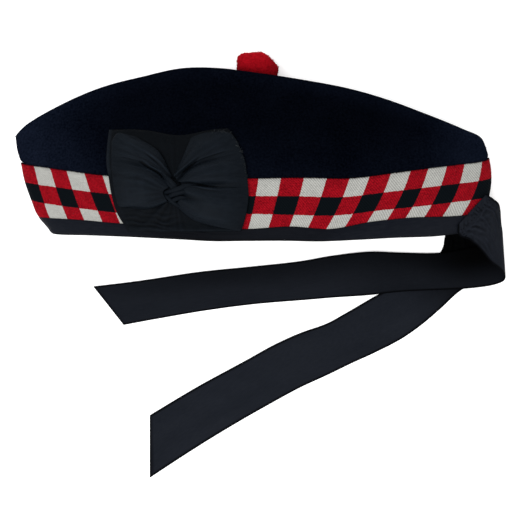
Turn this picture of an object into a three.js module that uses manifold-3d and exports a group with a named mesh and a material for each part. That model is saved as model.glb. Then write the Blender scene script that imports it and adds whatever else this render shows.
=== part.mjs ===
// A glengarry: a felt cap with a diced band, lying on its right side with its ribbon tails laid out.
// Millimetres, +Z up. X runs from the cap's front to its back, Y from its mouth to its ridges, and
// the cap's left side, with the cockade, faces up.

import * as THREE from 'three';
import { LoftGeometry } from 'three/addons/geometries/LoftGeometry.js';
import { mergeVertices } from 'three/addons/utils/BufferGeometryUtils.js';
import Module from 'manifold-3d';

const wasm = await Module();
wasm.setup();

// Thickness of each cloth, and the clearance between neighbouring pieces
const FELT = 2;
const BAND = 1.2;
const BINDING = 1;
const RIBBON = 1;
const COCKADE = 1.2;
const GAP = 0.3;

// Cap: three lines run from the front crease to the back crease. One is the mouth's edge, one is the
// top of the diced band, and one is the ridge. Each row is a section across the cap's left side.
const CAP_COLUMNS = ['mouthX', 'mouthY', 'bandX', 'bandY', 'ridgeX', 'ridgeY'];
const CAP_SECTIONS = [
  [-141, 18, -161, 63.5, -165.5, 86.5],
  [-137, 17.5, -151.5, 62, -157, 93],
  [-113.5, 16.5, -127.5, 58, -133, 106],
  [-89, 15.5, -102, 54.5, -107, 115],
  [-67, 14, -76.5, 52.5, -80.5, 122],
  [-48.5, 13, -51, 52, -54.5, 127],
  [-30, 12.5, -26, 52, -28.5, 127.5],
  [-9.5, 12.5, -1, 52, -2.5, 124.5],
  [16, 12, 28, 52, 28, 120],
  [39, 12, 57.5, 52, 58.5, 114],
  [63.5, 13.5, 85.5, 56, 87, 106],
  [88.5, 15, 111, 59.5, 112, 98],
  [115, 16, 138, 63.5, 136, 89],
  [129, 17.5, 150.5, 65.5, 149, 83.5],
  [138, 19, 156, 67, 154, 77],
];
const CAP_HALF_LENGTH = 140;  // a form that lies deeper is shorter by its depth over this

// Height of each line above the surface: at the end creases, and at the top of the upper side's arch.
// The nose is the crease's thickness, and the power says how square the arch is.
const LINE_HEIGHTS = {
  mouth: { crease: 16, nose: 12, top: 60, power: 2.6 },
  band: { crease: 14, nose: 11, top: 57, power: 2.6 },
  ridge: { crease: 12.5, nose: 9, top: 34, power: 2.2 },
};
const CREASE_HALF = 1.5;     // least half thickness of the outermost form at a crease
const NOSE_START = 0.25;     // share of the nose's roundness that the crease itself has
const NOSE_RUN = 0.02;       // share of the length in which a crease reaches its full thickness
const CURL_RUN = 0.13;       // share of the length in which the lower side rises to a crease
const CURL_POWER = 1.8;
const LOWER_MOUTH_SET = 3;   // the lower side's mouth lies this much further in
const LOWER_RIDGE_SET = 4;   // and its ridge this much lower
const CREST = 3.2;           // radius of a ridge's fold
const CREST_SHARE = 5;       // a thin ridge's fold is its thickness over this
const VALLEY_DEPTH = 7.6;    // fold between the ridges, at the toorie
const VALLEY_END = 0.4;      // and at the creases
const BAND_STEP = 3;         // length in which the felt comes out flush above the band
const BAND_BENDS = [0.4, 0.7];                 // shares of the band's height at which it may bend
const BINDING_HEIGHT = 8.5;
const STATIONS = 28;
const CREST_TURN = [-45, 0, 45, 90];           // degrees around a crest's fold
const VALLEY_TURN = [30, 60, 90, 120, 150];    // degrees through the valley
const UPPER_STEPS = [0, 0.2, 0.42, 0.64, 0.84, 1];    // shares of the way from the band to a ridge
const RIDGE_POINTS = 2 * CREST_TURN.length + VALLEY_TURN.length;

// Toorie: half sizes of its outer form, and its wool locks
const TOORIE_CENTRE = { x: -2, y: 126.8 };
const TOORIE_HALF = { x: 13.8, y: 13.6, z: 10.1 };
const TOORIE_CORE = 0.86;    // share of the half size that is the round head
const HEAD_SEGMENTS = { around: 16, high: 12 };
const LOCK_COUNT = 50;
const LOCK_RADIUS = 0.26;
const LOCK_SIDES = 5;
const GOLDEN_TURN = Math.PI * (3 - Math.sqrt(5));

// Cockade: outline of the backing panel, a row for each height on the cap's side
const PANEL_COLUMNS = ['y', 'leftX', 'rightX'];
const PANEL_SECTIONS = [
  [20, -86, -12],
  [31, -90, -11],
  [42, -94.5, -9.5],
  [52, -97, -9],
  [62, -99.5, -10],
  [72, -99.5, -12],
  [80, -99, -15.5],
  [85, -98.5, -19],
];
const PANEL_POINTS = 9;      // points across the panel
const TWIST = { x: -54.5, y: 42.5 };
const NECK = 1.7;            // where the loops start, from the twist's middle
const PUFF_PEAK = 0.35;      // share of a loop's reach at which it stands highest
const PUFF_NECK = 0.55;      // share of its height that is left at the twist

// Loops: a row for each fold, with its angle around the twist, its reach and its height
const LOOP_COLUMNS = ['angle', 'reach', 'height'];
const LEFT_FOLDS = [
  [122, 43, 1.5],
  [129, 54, 5.5],
  [136, 57, 2.8],
  [146, 49, 7],
  [163, 44, 7.5],
  [180, 39, 7.2],
  [195, 37, 6],
  [208, 28, 1.5],
];
const RIGHT_FOLDS = [
  [-54, 22, 1.5],
  [-43, 38, 5],
  [-29, 47, 6.5],
  [-14, 44, 7.2],
  [3, 44, 3],
  [14, 45, 7],
  [30, 50, 7.5],
  [47, 53, 5.5],
  [57, 48, 2.8],
  [66, 42, 5.5],
  [75, 36, 1.5],
];
const FOLD_STEPS = 14;
const REACH_STEPS = 6;

// Ribbons: a row for each place along the ribbon, with the points of its two edges
const RIBBON_COLUMNS = ['leftX', 'leftY', 'leftZ', 'rightX', 'rightY', 'rightZ'];
const NEAR_RIBBON = [
  [151, 44, 26, 131, 22, 27],
  [160, 38.5, 20, 138, 14.5, 26],
  [164, 32, 13, 147.5, 6.5, 22],
  [165.5, 25, 10.5, 155, -1.5, 19.5],
  [166, 20.5, 8, 163, -7, 15],
  [165.5, 17, 6, 166.5, -11, 10],
  [163.5, 14.5, 4, 166.5, -14.5, 5.5],
  [157, 11, 3, 161, -17, 3],
  [144.5, 8.5, 2.2, 144.5, -19.5, 2.2],
  [124, 5.5, 2, 124, -20.5, 2],
  [96.5, 5.5, 2, 97.5, -21.5, 2],
  [75.5, 6, 1.9, 73, -24, 1.9],
  [49.5, 3, 0.6, 52.5, -25.5, 0.6],
  [27.5, -0.5, 0.5, 31, -27, 0.5],
  [-7, -4.5, 0.5, -3, -29.5, 0.5],
  [-41.5, -8, 0.5, -37, -34, 0.5],
  [-82.5, -14, 0.5, -70.5, -39.5, 0.5],
  [-115, -18, 0.5, -94, -44, 0.5],
];
const FAR_RIBBON = [
  [132, 30, 9, 154, 37, 11.5],
  [130, 22, 5, 155.5, 28, 9],
  [129, 15, 1, 157.5, 16.5, 2.2],
  [127.5, 9.5, 0.5, 158, 4, 0.6],
  [124, 5, 0.5, 154, -7, 0.5],
  [117, 0, 0.5, 145.5, -16, 0.5],
  [109, -5.5, 0.5, 136, -22, 0.5],
  [100, -11.5, 0.5, 124, -33, 0.5],
  [88.5, -19.5, 0.5, 110.5, -44, 0.5],
  [76, -26, 0.5, 96.5, -54.5, 0.5],
  [58.5, -37, 0.5, 78.5, -63, 0.5],
  [27.5, -50.5, 0.5, 46, -79, 0.5],
  [-10.5, -69, 0.5, 8.5, -98, 0.5],
  [-41.5, -86, 0.5, -23, -115.5, 0.5],
  [-60.5, -97, 0.5, -48.5, -131, 0.5],
  [-76, -106, 0.5, -76, -149, 0.5],
];
const RIBBON_STEPS = 40;
const RIBBON_ACROSS = 3;
const RIBBON_CLEAR = 1.3;    // from the middle of a ribbon to the cloth that it lies on

const CLOTHS = {
  felt: { color: 0x090c16, roughness: 0.95 },
  dicing: { color: 0xb4141e, roughness: 0.9 },
  binding: { color: 0x1c1f25, roughness: 0.8 },
  wool: { color: 0x9c0a14, roughness: 0.95 },
  taffeta: { color: 0x1a1d22, roughness: 0.7 },
  ribbon: { color: 0x1e2127, roughness: 0.7 },
};
const SAME_POINT = 1e-4;     // points this near are one point

// Turn a table's rows into objects with a value for each named column
const table = (columns, rows) => rows.map(
  (row) => Object.fromEntries(columns.map((name, index) => [name, row[index]])),
);

// A smooth line through a table's points
const lineThrough = (rows, x, y, z) => new THREE.CatmullRomCurve3(
  rows.map((row) => new THREE.Vector3(row[x], row[y], z ? row[z] : 0)),
);

const capRows = table(CAP_COLUMNS, CAP_SECTIONS);
const MOUTH_LINE = lineThrough(capRows, 'mouthX', 'mouthY');
const BAND_LINE = lineThrough(capRows, 'bandX', 'bandY');
const RIDGE_LINE = lineThrough(capRows, 'ridgeX', 'ridgeY');
const BAND_FRONT = capRows[0].bandX;
const BAND_BACK = capRows[capRows.length - 1].bandX;

const arch = (along, power) => 1 - Math.abs(2 * along - 1) ** power;

// Value at a share of the way from mouth to ridge, on a parabola through the three lines' values
function throughLines(share, bandShare, mouth, band, ridge) {
  const atMouth = ((share - bandShare) * (share - 1)) / bandShare;
  const atBand = (share * (share - 1)) / (bandShare * (bandShare - 1));
  const atRidge = (share * (share - bandShare)) / (1 - bandShare);
  return mouth * atMouth + band * atBand + ridge * atRidge;
}

// Everything that a section across the cap needs, from 0 at the front crease to 1 at the back crease
function capStation(t) {
  const mouth = MOUTH_LINE.getPoint(t);
  const band = BAND_LINE.getPoint(t);
  const ridge = RIDGE_LINE.getPoint(t);
  const along = THREE.MathUtils.clamp((band.x - BAND_FRONT) / (BAND_BACK - BAND_FRONT), 0, 1);
  const edge = Math.min(along, 1 - along);
  const roll = Math.sqrt(THREE.MathUtils.clamp(edge / NOSE_RUN, NOSE_START, 1));
  const curl = Math.max(0, 1 - edge / CURL_RUN) ** CURL_POWER;
  const upper = {};
  const lower = {};
  for (const [line, height] of Object.entries(LINE_HEIGHTS)) {
    const halfNose = (height.nose / 2) * roll;
    const rise = height.top - height.crease - height.nose / 2;
    upper[line] = height.crease + halfNose + rise * arch(along, height.power);
    lower[line] = (height.crease - halfNose) * curl;
  }
  const outward = ridge.clone().sub(band).normalize();
  const length = mouth.distanceTo(band) + band.distanceTo(ridge);
  const fullness = arch(along, 2);
  const valley = VALLEY_END + (VALLEY_DEPTH - VALLEY_END) * fullness;
  return { mouth, band, ridge, outward, length, fullness, valley, upper, lower };
}

// Half the thickness that a form keeps in a crease, less for forms that lie deeper
const leastHalf = (inset) => CREASE_HALF - inset / 4;

// Radius of a ridge's fold, and the place where the side meets it, at some depth below the surface
function crestAt(station, inset) {
  const middle = (station.upper.ridge + station.lower.ridge) / 2;
  const top = Math.max(station.upper.ridge - inset, middle + leastHalf(inset));
  const bottom = Math.min(station.lower.ridge + inset, middle - leastHalf(inset));
  const radius = Math.min(Math.max(CREST - inset, GAP), (top - bottom) / CREST_SHARE);
  const shoulder = station.ridge.clone().addScaledVector(station.outward, -inset - radius);
  return { top, bottom, radius, shoulder };
}

// A point on the cap's upper or lower side, at a share of the way from mouth to ridge
function sidePoint(station, share, isUpper, inset) {
  const crest = crestAt(station, inset);
  const toBand = station.mouth.distanceTo(station.band);
  const bandShare = toBand / (toBand + station.band.distanceTo(crest.shoulder));
  const blend = (mouth, band, ridge) => throughLines(share, bandShare, mouth, band, ridge);
  const x = blend(station.mouth.x, station.band.x, crest.shoulder.x);
  const y = blend(station.mouth.y, station.band.y, crest.shoulder.y);
  const upperZ = blend(station.upper.mouth, station.upper.band, station.upper.ridge);
  const lowerZ = Math.max(0, blend(station.lower.mouth, station.lower.band, station.lower.ridge));
  const middle = (upperZ + lowerZ) / 2;
  const least = leastHalf(inset);
  const z = isUpper ? Math.max(upperZ - inset, middle + least) : Math.min(lowerZ + inset, middle - least);
  const set = isUpper ? 0 : LOWER_MOUTH_SET * (1 - share) - LOWER_RIDGE_SET * share;
  return new THREE.Vector3(x * (1 - inset / CAP_HALF_LENGTH), y + set * station.fullness, z);
}

// Heights up the cap's side, measured from the mouth's edge, at which every form has a bend, so that
// neighbouring cloths lie on each other without touching
function bendHeights(station) {
  const bandTop = station.mouth.distanceTo(station.band);
  return [0, BINDING_HEIGHT, ...BAND_BENDS.map((share) => share * bandTop), bandTop, bandTop + BAND_STEP];
}

// One section of the cap: the lower side, the two ridges with the valley, and the upper side.
// The felt is set in by bandInset under the band, and by inset above it.
function capSection(station, inset, bandInset) {
  const heights = bendHeights(station);
  const below = heights.slice(0, -1).map((height) => ({ height, inset: bandInset }));
  const above = UPPER_STEPS.map(
    (step) => ({ height: THREE.MathUtils.lerp(heights.at(-1), station.length, step), inset }),
  );
  const steps = [...below, ...above];
  const side = (isUpper) => steps.map(
    (step) => sidePoint(station, step.height / station.length, isUpper, step.inset),
  );
  const lowerSide = side(false);
  const upperSide = side(true).reverse();
  return [...lowerSide, ...ridgePoints(station, inset, lowerSide.at(-1), upperSide[0]), ...upperSide];
}

// The points from the lower shoulder over its crest, through the valley and over the upper crest
function ridgePoints(station, inset, lowerShoulder, upperShoulder) {
  const outer = crestAt(station, 0);
  const { top, bottom, radius } = crestAt(station, inset);
  const depth = station.valley + outer.radius - radius;
  const at = (base, out, z) => base.clone().addScaledVector(station.outward, out).setZ(z);
  const crest = (base, middle, turns) => turns.map((degrees) => {
    const turn = THREE.MathUtils.degToRad(degrees);
    return at(base, radius * Math.cos(turn), middle + radius * Math.sin(turn));
  });
  const halfWidth = (top - bottom) / 2 - 2 * radius;
  const valley = VALLEY_TURN.map((degrees) => {
    const turn = THREE.MathUtils.degToRad(degrees);
    const base = lowerShoulder.clone().lerp(upperShoulder, (1 - Math.cos(turn)) / 2);
    return at(base, -depth * Math.sin(turn), (top + bottom) / 2 - halfWidth * Math.cos(turn));
  });
  return [
    ...crest(lowerShoulder, bottom + radius, CREST_TURN),
    ...valley,
    ...crest(upperShoulder, top - radius, [-90, ...CREST_TURN.slice(0, -1)]),
  ];
}

const stations = Array.from({ length: STATIONS + 1 }, (_, index) => capStation(index / STATIONS));

// Closed geometry to solid, and back
function toSolid(geometry) {
  const bare = new THREE.BufferGeometry().copy(geometry);
  bare.deleteAttribute('normal');
  bare.deleteAttribute('uv');
  const merged = mergeVertices(bare, SAME_POINT);
  const corners = merged.index.array;
  const triangles = [];
  for (let index = 0; index < corners.length; index += 3) {
    const [a, b, c] = corners.slice(index, index + 3);
    if (a !== b && b !== c && c !== a) triangles.push(a, b, c);
  }
  return new wasm.Manifold(new wasm.Mesh({
    numProp: 3,
    vertProperties: new Float32Array(merged.attributes.position.array),
    triVerts: new Uint32Array(triangles),
  }));
}

function toGeometry(solid) {
  const mesh = solid.getMesh();
  const geometry = new THREE.BufferGeometry();
  geometry.setAttribute('position', new THREE.BufferAttribute(mesh.vertProperties, 3));
  geometry.setIndex(new THREE.BufferAttribute(mesh.triVerts, 1));
  geometry.computeVertexNormals();
  return geometry;
}

// A section's two halves drawn together on the line midway between them, which closes an end of a skin.
// A half has as many points as a side has.
function drawnTogether(section, sideCount) {
  return section.map((_, index) => {
    const near = Math.min(index, section.length - 1 - index, sideCount - 1);
    return section[near].clone().lerp(section[section.length - 1 - near], 0.5);
  });
}

// A closed skin through a row of sections
const skin = (sections) => toGeometry(toSolid(new LoftGeometry(sections)));

// The felt: each section of its wall runs along the outside and back along the inside, open at the mouth
function crownGeometry() {
  const underBand = BAND + GAP;
  const wall = (station, shape) => [
    ...shape(capSection(station, 0, underBand)),
    ...shape(capSection(station, FELT, underBand + FELT)).reverse(),
  ];
  const asItIs = (section) => section;
  const closed = (section) => drawnTogether(section, (section.length - RIDGE_POINTS) / 2 - 1);
  return skin([
    wall(stations[0], closed),
    ...stations.map((station) => wall(station, asItIs)),
    wall(stations.at(-1), closed),
  ]);
}

// A strip all round the cap, along its lower side to the back crease and along its upper side to the
// front again. Its section is a ring of places, each with a height and an inset.
function stripAround(ring) {
  const section = (station, isUpper) => ring(station).map(
    (place) => sidePoint(station, place.height / station.length, isUpper, place.inset),
  );
  const lower = stations.map((station) => section(station, false));
  const upper = stations.map((station) => section(station, true)).reverse();
  return skin([...lower, ...upper, lower[0]]);
}

const leg = (heights, inset) => heights.map((height) => ({ height, inset }));

// The diced band goes from the binding to the band's top
function bandGeometry() {
  return stripAround((station) => {
    const heights = [BINDING_HEIGHT + GAP, ...bendHeights(station).slice(2, -1)];
    return [...leg(heights, 0), ...leg(heights.toReversed(), BAND)];
  });
}

// The binding is folded over the mouth's edge, with a leg outside the felt and one inside it
function bindingGeometry() {
  const slotInside = BAND + GAP + FELT + 2 * GAP;
  const whole = [-GAP - BINDING, 0, BINDING_HEIGHT];
  const slot = [-GAP, 0, BINDING_HEIGHT];
  return stripAround(() => [
    ...leg(whole, 0),
    ...leg(slot.toReversed(), BINDING),
    ...leg(slot, slotInside),
    ...leg(whole.toReversed(), slotInside + BINDING),
  ]);
}

// The toorie: a round head of felted wool with short locks all over it
function toorieGeometry() {
  const head = new THREE.SphereGeometry(TOORIE_CORE, HEAD_SEGMENTS.around, HEAD_SEGMENTS.high);
  let wool = toSolid(head);
  const lockLength = 1 - TOORIE_CORE + LOCK_RADIUS / 2;
  for (let index = 0; index < LOCK_COUNT; index += 1) {
    const rise = 1 - (2 * index + 1) / LOCK_COUNT;
    const turn = index * GOLDEN_TURN;
    const level = Math.sqrt(1 - rise * rise);
    const outward = new THREE.Vector3(level * Math.cos(turn), level * Math.sin(turn), rise);
    const lock = new THREE.ConeGeometry(LOCK_RADIUS, lockLength, LOCK_SIDES);
    lock.translate(0, 1 - lockLength / 2, 0);
    lock.applyQuaternion(new THREE.Quaternion().setFromUnitVectors(new THREE.Vector3(0, 1, 0), outward));
    wool = wool.add(toSolid(lock));
  }
  const geometry = toGeometry(wool);
  geometry.scale(TOORIE_HALF.x, TOORIE_HALF.y, TOORIE_HALF.z);
  return geometry;
}

// Whether a point seen from above lies on the cap's upper or lower side, and that side's height there
function onCap(x, y, isUpper) {
  const NUDGE = 1e-3;
  const SEARCH_STEPS = 24;
  const RIM_SHARE = 0.03;
  const guess = { t: 0.5, share: 0.5 };
  const place = (t, share) => sidePoint(capStation(THREE.MathUtils.clamp(t, 0, 1)), share, isUpper, 0);
  for (let step = 0; step < SEARCH_STEPS; step += 1) {
    const here = place(guess.t, guess.share);
    const turn = guess.t > 0.5 ? -NUDGE : NUDGE;
    const byT = place(guess.t + turn, guess.share).sub(here).divideScalar(turn);
    const byShare = place(guess.t, guess.share + NUDGE).sub(here).divideScalar(NUDGE);
    const area = byT.x * byShare.y - byT.y * byShare.x;
    const errorX = x - here.x;
    const errorY = y - here.y;
    guess.t = THREE.MathUtils.clamp(guess.t + (errorX * byShare.y - errorY * byShare.x) / area, 0, 1);
    guess.share += (byT.x * errorY - byT.y * errorX) / area;
  }
  const found = place(guess.t, guess.share);
  const isOnSide = guess.share > -RIM_SHARE && guess.share < 1;
  const isOnCap = isOnSide && Math.hypot(found.x - x, found.y - y) < FELT / 2;
  return { isOnCap, z: found.z };
}

// A sheet of cloth: a grid of points through its middle, given half its thickness on both faces
function sheetGeometry(grid, thickness) {
  const last = grid.length - 1;
  const end = grid[0].length - 1;
  const sections = grid.map((row, i) => {
    const top = [];
    const bottom = [];
    row.forEach((point, j) => {
      const along = grid[Math.min(i + 1, last)][j].clone().sub(grid[Math.max(i - 1, 0)][j]);
      const across = row[Math.min(j + 1, end)].clone().sub(row[Math.max(j - 1, 0)]);
      const normal = along.cross(across).normalize();
      top.push(point.clone().addScaledVector(normal, thickness / 2));
      bottom.push(point.clone().addScaledVector(normal, -thickness / 2));
    });
    return [...bottom, ...top.reverse()];
  });
  const closed = (section) => drawnTogether(section, section.length / 2);
  return skin([closed(sections[0]), ...sections, closed(sections.at(-1))]);
}

// The cockade's panel lies on the cap's side, over the band
function panelGeometry() {
  const rows = table(PANEL_COLUMNS, PANEL_SECTIONS);
  const grid = rows.map((row) => Array.from({ length: PANEL_POINTS }, (_, index) => {
    const x = THREE.MathUtils.lerp(row.rightX, row.leftX, index / (PANEL_POINTS - 1));
    return new THREE.Vector3(x, row.y, onCap(x, row.y, true).z + GAP + COCKADE / 2);
  }));
  return sheetGeometry(grid, COCKADE);
}

// Share of a loop's height at a share of its reach: puffed near the twist, flat at the outer edge
function puff(share) {
  if (share < PUFF_PEAK) {
    return 1 - (1 - PUFF_NECK) * ((PUFF_PEAK - share) / PUFF_PEAK) ** 2;
  }
  return 1 - ((share - PUFF_PEAK) / (1 - PUFF_PEAK)) ** 2;
}

// A loop of the cockade: a fan of folds around the twist, standing on the panel
function loopGeometry(foldRows) {
  const rows = table(LOOP_COLUMNS, foldRows);
  const folds = lineThrough(rows, 'angle', 'reach', 'height');
  const underLoop = GAP + COCKADE + GAP + COCKADE / 2;
  const grid = Array.from({ length: REACH_STEPS + 1 }, (_, i) => {
    const share = i / REACH_STEPS;
    return Array.from({ length: FOLD_STEPS + 1 }, (__, j) => {
      const fold = folds.getPoint(1 - j / FOLD_STEPS);
      const turn = THREE.MathUtils.degToRad(fold.x);
      const distance = NECK + (fold.y - NECK) * share;
      const x = TWIST.x + distance * Math.cos(turn);
      const y = TWIST.y + distance * Math.sin(turn);
      return new THREE.Vector3(x, y, onCap(x, y, true).z + underLoop + fold.z * puff(share));
    });
  }).map((row) => row.reverse());
  return sheetGeometry(grid, COCKADE);
}

// A ribbon between its two edge lines. Where it is sewn to the cap it lies on that side.
function ribbonGeometry(ribbonRows, liesOnUpper) {
  const rows = table(RIBBON_COLUMNS, ribbonRows);
  const left = lineThrough(rows, 'leftX', 'leftY', 'leftZ');
  const right = lineThrough(rows, 'rightX', 'rightY', 'rightZ');
  const grid = Array.from({ length: RIBBON_STEPS + 1 }, (_, i) => {
    const t = i / RIBBON_STEPS;
    const from = right.getPoint(t);
    const to = left.getPoint(t);
    return Array.from({ length: RIBBON_ACROSS + 1 }, (__, j) => {
      const point = from.clone().lerp(to, j / RIBBON_ACROSS);
      const side = onCap(point.x, point.y, liesOnUpper);
      if (side.isOnCap && liesOnUpper) point.z = Math.max(point.z, side.z + RIBBON_CLEAR);
      if (side.isOnCap && !liesOnUpper) point.z = Math.min(point.z, side.z - RIBBON_CLEAR);
      point.z = Math.max(point.z, RIBBON / 2);
      return point;
    });
  });
  return sheetGeometry(grid, RIBBON);
}

function piece(name, geometry, cloth) {
  const mesh = new THREE.Mesh(geometry, new THREE.MeshStandardMaterial(cloth));
  mesh.name = name;
  return mesh;
}

const glengarry = new THREE.Group();
glengarry.add(piece('crown', crownGeometry(), CLOTHS.felt));
glengarry.add(piece('diced_band', bandGeometry(), CLOTHS.dicing));
glengarry.add(piece('edge_binding', bindingGeometry(), CLOTHS.binding));
const toorie = piece('toorie', toorieGeometry(), CLOTHS.wool);
toorie.position.set(TOORIE_CENTRE.x, TOORIE_CENTRE.y, LINE_HEIGHTS.ridge.top / 2);
glengarry.add(toorie);
glengarry.add(piece('cockade_panel', panelGeometry(), CLOTHS.taffeta));
glengarry.add(piece('cockade_left_loop', loopGeometry(LEFT_FOLDS), CLOTHS.taffeta));
glengarry.add(piece('cockade_right_loop', loopGeometry(RIGHT_FOLDS), CLOTHS.taffeta));
glengarry.add(piece('ribbon_near', ribbonGeometry(NEAR_RIBBON, true), CLOTHS.ribbon));
glengarry.add(piece('ribbon_far', ribbonGeometry(FAR_RIBBON, false), CLOTHS.ribbon));

// The origin is under the middle of the whole, on the surface that it lies on
glengarry.updateMatrixWorld(true);
const extent = new THREE.Box3().setFromObject(glengarry, true);
const middle = extent.getCenter(new THREE.Vector3());
glengarry.position.set(-middle.x, -middle.y, -extent.min.z);

export default glengarry;
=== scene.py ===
# %% [markdown]
# # A glengarry, dressed in Blender
# The cap lies on its right side with its ribbon tails laid out, and the camera looks straight down.
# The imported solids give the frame: each piece below is made in metres, in the place of the solid that it
# stands for.

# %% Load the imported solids
import math
import random
from functools import lru_cache
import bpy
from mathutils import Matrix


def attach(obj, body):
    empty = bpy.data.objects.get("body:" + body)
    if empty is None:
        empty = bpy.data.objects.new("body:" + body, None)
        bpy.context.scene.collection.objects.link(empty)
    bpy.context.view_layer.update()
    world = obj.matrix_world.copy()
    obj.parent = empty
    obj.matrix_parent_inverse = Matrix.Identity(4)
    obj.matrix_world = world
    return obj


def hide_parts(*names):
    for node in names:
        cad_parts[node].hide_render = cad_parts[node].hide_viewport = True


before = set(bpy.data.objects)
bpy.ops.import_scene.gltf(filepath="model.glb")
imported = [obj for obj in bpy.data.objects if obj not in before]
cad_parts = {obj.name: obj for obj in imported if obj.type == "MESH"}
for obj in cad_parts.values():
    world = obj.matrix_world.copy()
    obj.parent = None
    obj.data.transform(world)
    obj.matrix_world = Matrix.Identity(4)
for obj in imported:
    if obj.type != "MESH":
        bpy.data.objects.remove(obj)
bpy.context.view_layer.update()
from types import SimpleNamespace
import bmesh
import bpy
from mathutils import Matrix, Vector, noise
from mathutils.bvhtree import BVHTree

scene = bpy.context.scene
print("nodes:", sorted(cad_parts))

# %% [markdown]
# ## Camera
# The photograph looks straight down on a white table. Blender's camera looks down its own -Z with +Y
# upwards, so an unturned camera above the cap is already right. The lens follows from the width of floor
# that the picture spans.

# %% Camera
MM = 0.001
CAMERA_HEIGHT = 0.75
FLOOR_SPAN = 0.3588
SENSOR = 36.0
SHIFT = Vector((-0.997, 4.474, 0.0))    # millimetres from the cap's drawing to the frame's origin

camera = bpy.data.objects.new("camera", bpy.data.cameras.new("camera"))
camera.data.sensor_width = SENSOR
camera.data.lens = SENSOR * CAMERA_HEIGHT / FLOOR_SPAN
camera.location = (SHIFT.x * MM, SHIFT.y * MM, CAMERA_HEIGHT)
scene.collection.objects.link(camera)
scene.camera = camera
scene.view_settings.view_transform = "Standard"
print("lens", round(camera.data.lens, 2), "mm")

# %% [markdown]
# ## Light
# The bright surround lights the cap from all sides, as the white walls of a studio do, and leaves the folds
# and the ribbon's loop a little dark, and painted shade on the cloths darkens them more. A broad soft box
# overhead adds a little shape.

# %% Light
KEY_PLACE = Vector((-0.5, -0.3, 1.5))
KEY_SIZE = 1.0
KEY_WATTS = 22

key_light = bpy.data.lights.new("key_box", "AREA")
key_light.size = KEY_SIZE
key_light.energy = KEY_WATTS
key_box = bpy.data.objects.new("key_box", key_light)
key_box.location = KEY_PLACE
key_box.rotation_euler = (-KEY_PLACE).to_track_quat("-Z", "Y").to_euler()
scene.collection.objects.link(key_box)

surround = bpy.data.worlds.new("surround")
surround.use_nodes = True
background = surround.node_tree.nodes["Background"].inputs
background["Color"].default_value = (1.0, 1.0, 1.0, 1.0)
background["Strength"].default_value = 1.0
scene.world = surround
print("lights:", key_box.name, "and", surround.name)

# %% [markdown]
# ## Node helpers
# Materials here are built from nodes. These small helpers add one node with its values and links, do a
# sum, and start a shader group with named sockets, so that the finishes below stay short to read.

# %% Node helpers


def add(tree, kind, inputs=None, **settings):
    """A node with its settings, and with values or links on its inputs."""
    node = tree.nodes.new(kind)
    for key, value in settings.items():
        setattr(node, key, value)
    for key, value in (inputs or {}).items():
        if isinstance(value, bpy.types.NodeSocket):
            tree.links.new(value, node.inputs[key])
        else:
            node.inputs[key].default_value = value
    return node


def maths(tree, operation, first, second=0.0):
    return add(tree, "ShaderNodeMath", {0: first, 1: second}, operation=operation).outputs[0]


def blend(tree, share, first, second):
    """A mix of two colours."""
    return add(tree, "ShaderNodeMix", {0: share, 6: first, 7: second}, data_type="RGBA").outputs[2]


def vectors(tree, operation, first, second):
    """A sum on all three values of a vector."""
    return add(tree, "ShaderNodeVectorMath", {0: first, 1: second}, operation=operation).outputs[0]


def scaled(tree, colour, share):
    """A colour times a share."""
    return add(tree, "ShaderNodeVectorMath", {0: colour, "Scale": share}, operation="SCALE").outputs[0]


def ranged(tree, value, low, high, to_low=0.0, to_high=1.0):
    """A value between low and high, carried over to another range."""
    ends = {"Value": value, "From Min": low, "From Max": high, "To Min": to_low, "To Max": to_high}
    return add(tree, "ShaderNodeMapRange", ends).outputs[0]


def speckle(tree, vector, scale, detail):
    """A noise, as a share and as a colour."""
    return add(tree, "ShaderNodeTexNoise", {"Vector": vector, "Scale": scale, "Detail": detail}).outputs


def new_group(name, inputs, outputs):
    """A shader node group with named sockets, and its input and output nodes."""
    group = bpy.data.node_groups.new(name, "ShaderNodeTree")
    for socket, kind in inputs:
        group.interface.new_socket(socket, in_out="INPUT", socket_type=kind)
    for socket, kind in outputs:
        group.interface.new_socket(socket, in_out="OUTPUT", socket_type=kind)
    return group, group.nodes.new("NodeGroupInput").outputs, group.nodes.new("NodeGroupOutput").inputs


def new_cloth(name, roughness, specular):
    """A material with one Principled shader, whose constant values sit on its own sockets."""
    material = bpy.data.materials.new(name)
    material.use_nodes = True
    shader = material.node_tree.nodes["Principled BSDF"]
    shader.inputs["Roughness"].default_value = roughness
    shader.inputs["Specular IOR Level"].default_value = specular
    return material, material.node_tree, shader


def bump(tree, shader, height, distance, strength):
    node = add(tree, "ShaderNodeBump", {"Height": height, "Distance": distance, "Strength": strength})
    tree.links.new(node.outputs["Normal"], shader.inputs["Normal"])


print("helpers ready")

# %% [markdown]
# ## Shared effect: uneven dye
# Wool and ribbon never take dye evenly. A slow noise and a fine noise together choose between a darker and
# a lighter colour of the same cloth. As a group it serves every cloth here at its own scale.

# %% Shared effect: uneven dye
COLOR, FLOAT, VECTOR = "NodeSocketColor", "NodeSocketFloat", "NodeSocketVector"
NOISE_LOW, NOISE_HIGH = 0.3, 0.7         # most of a noise lies between these

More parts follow.
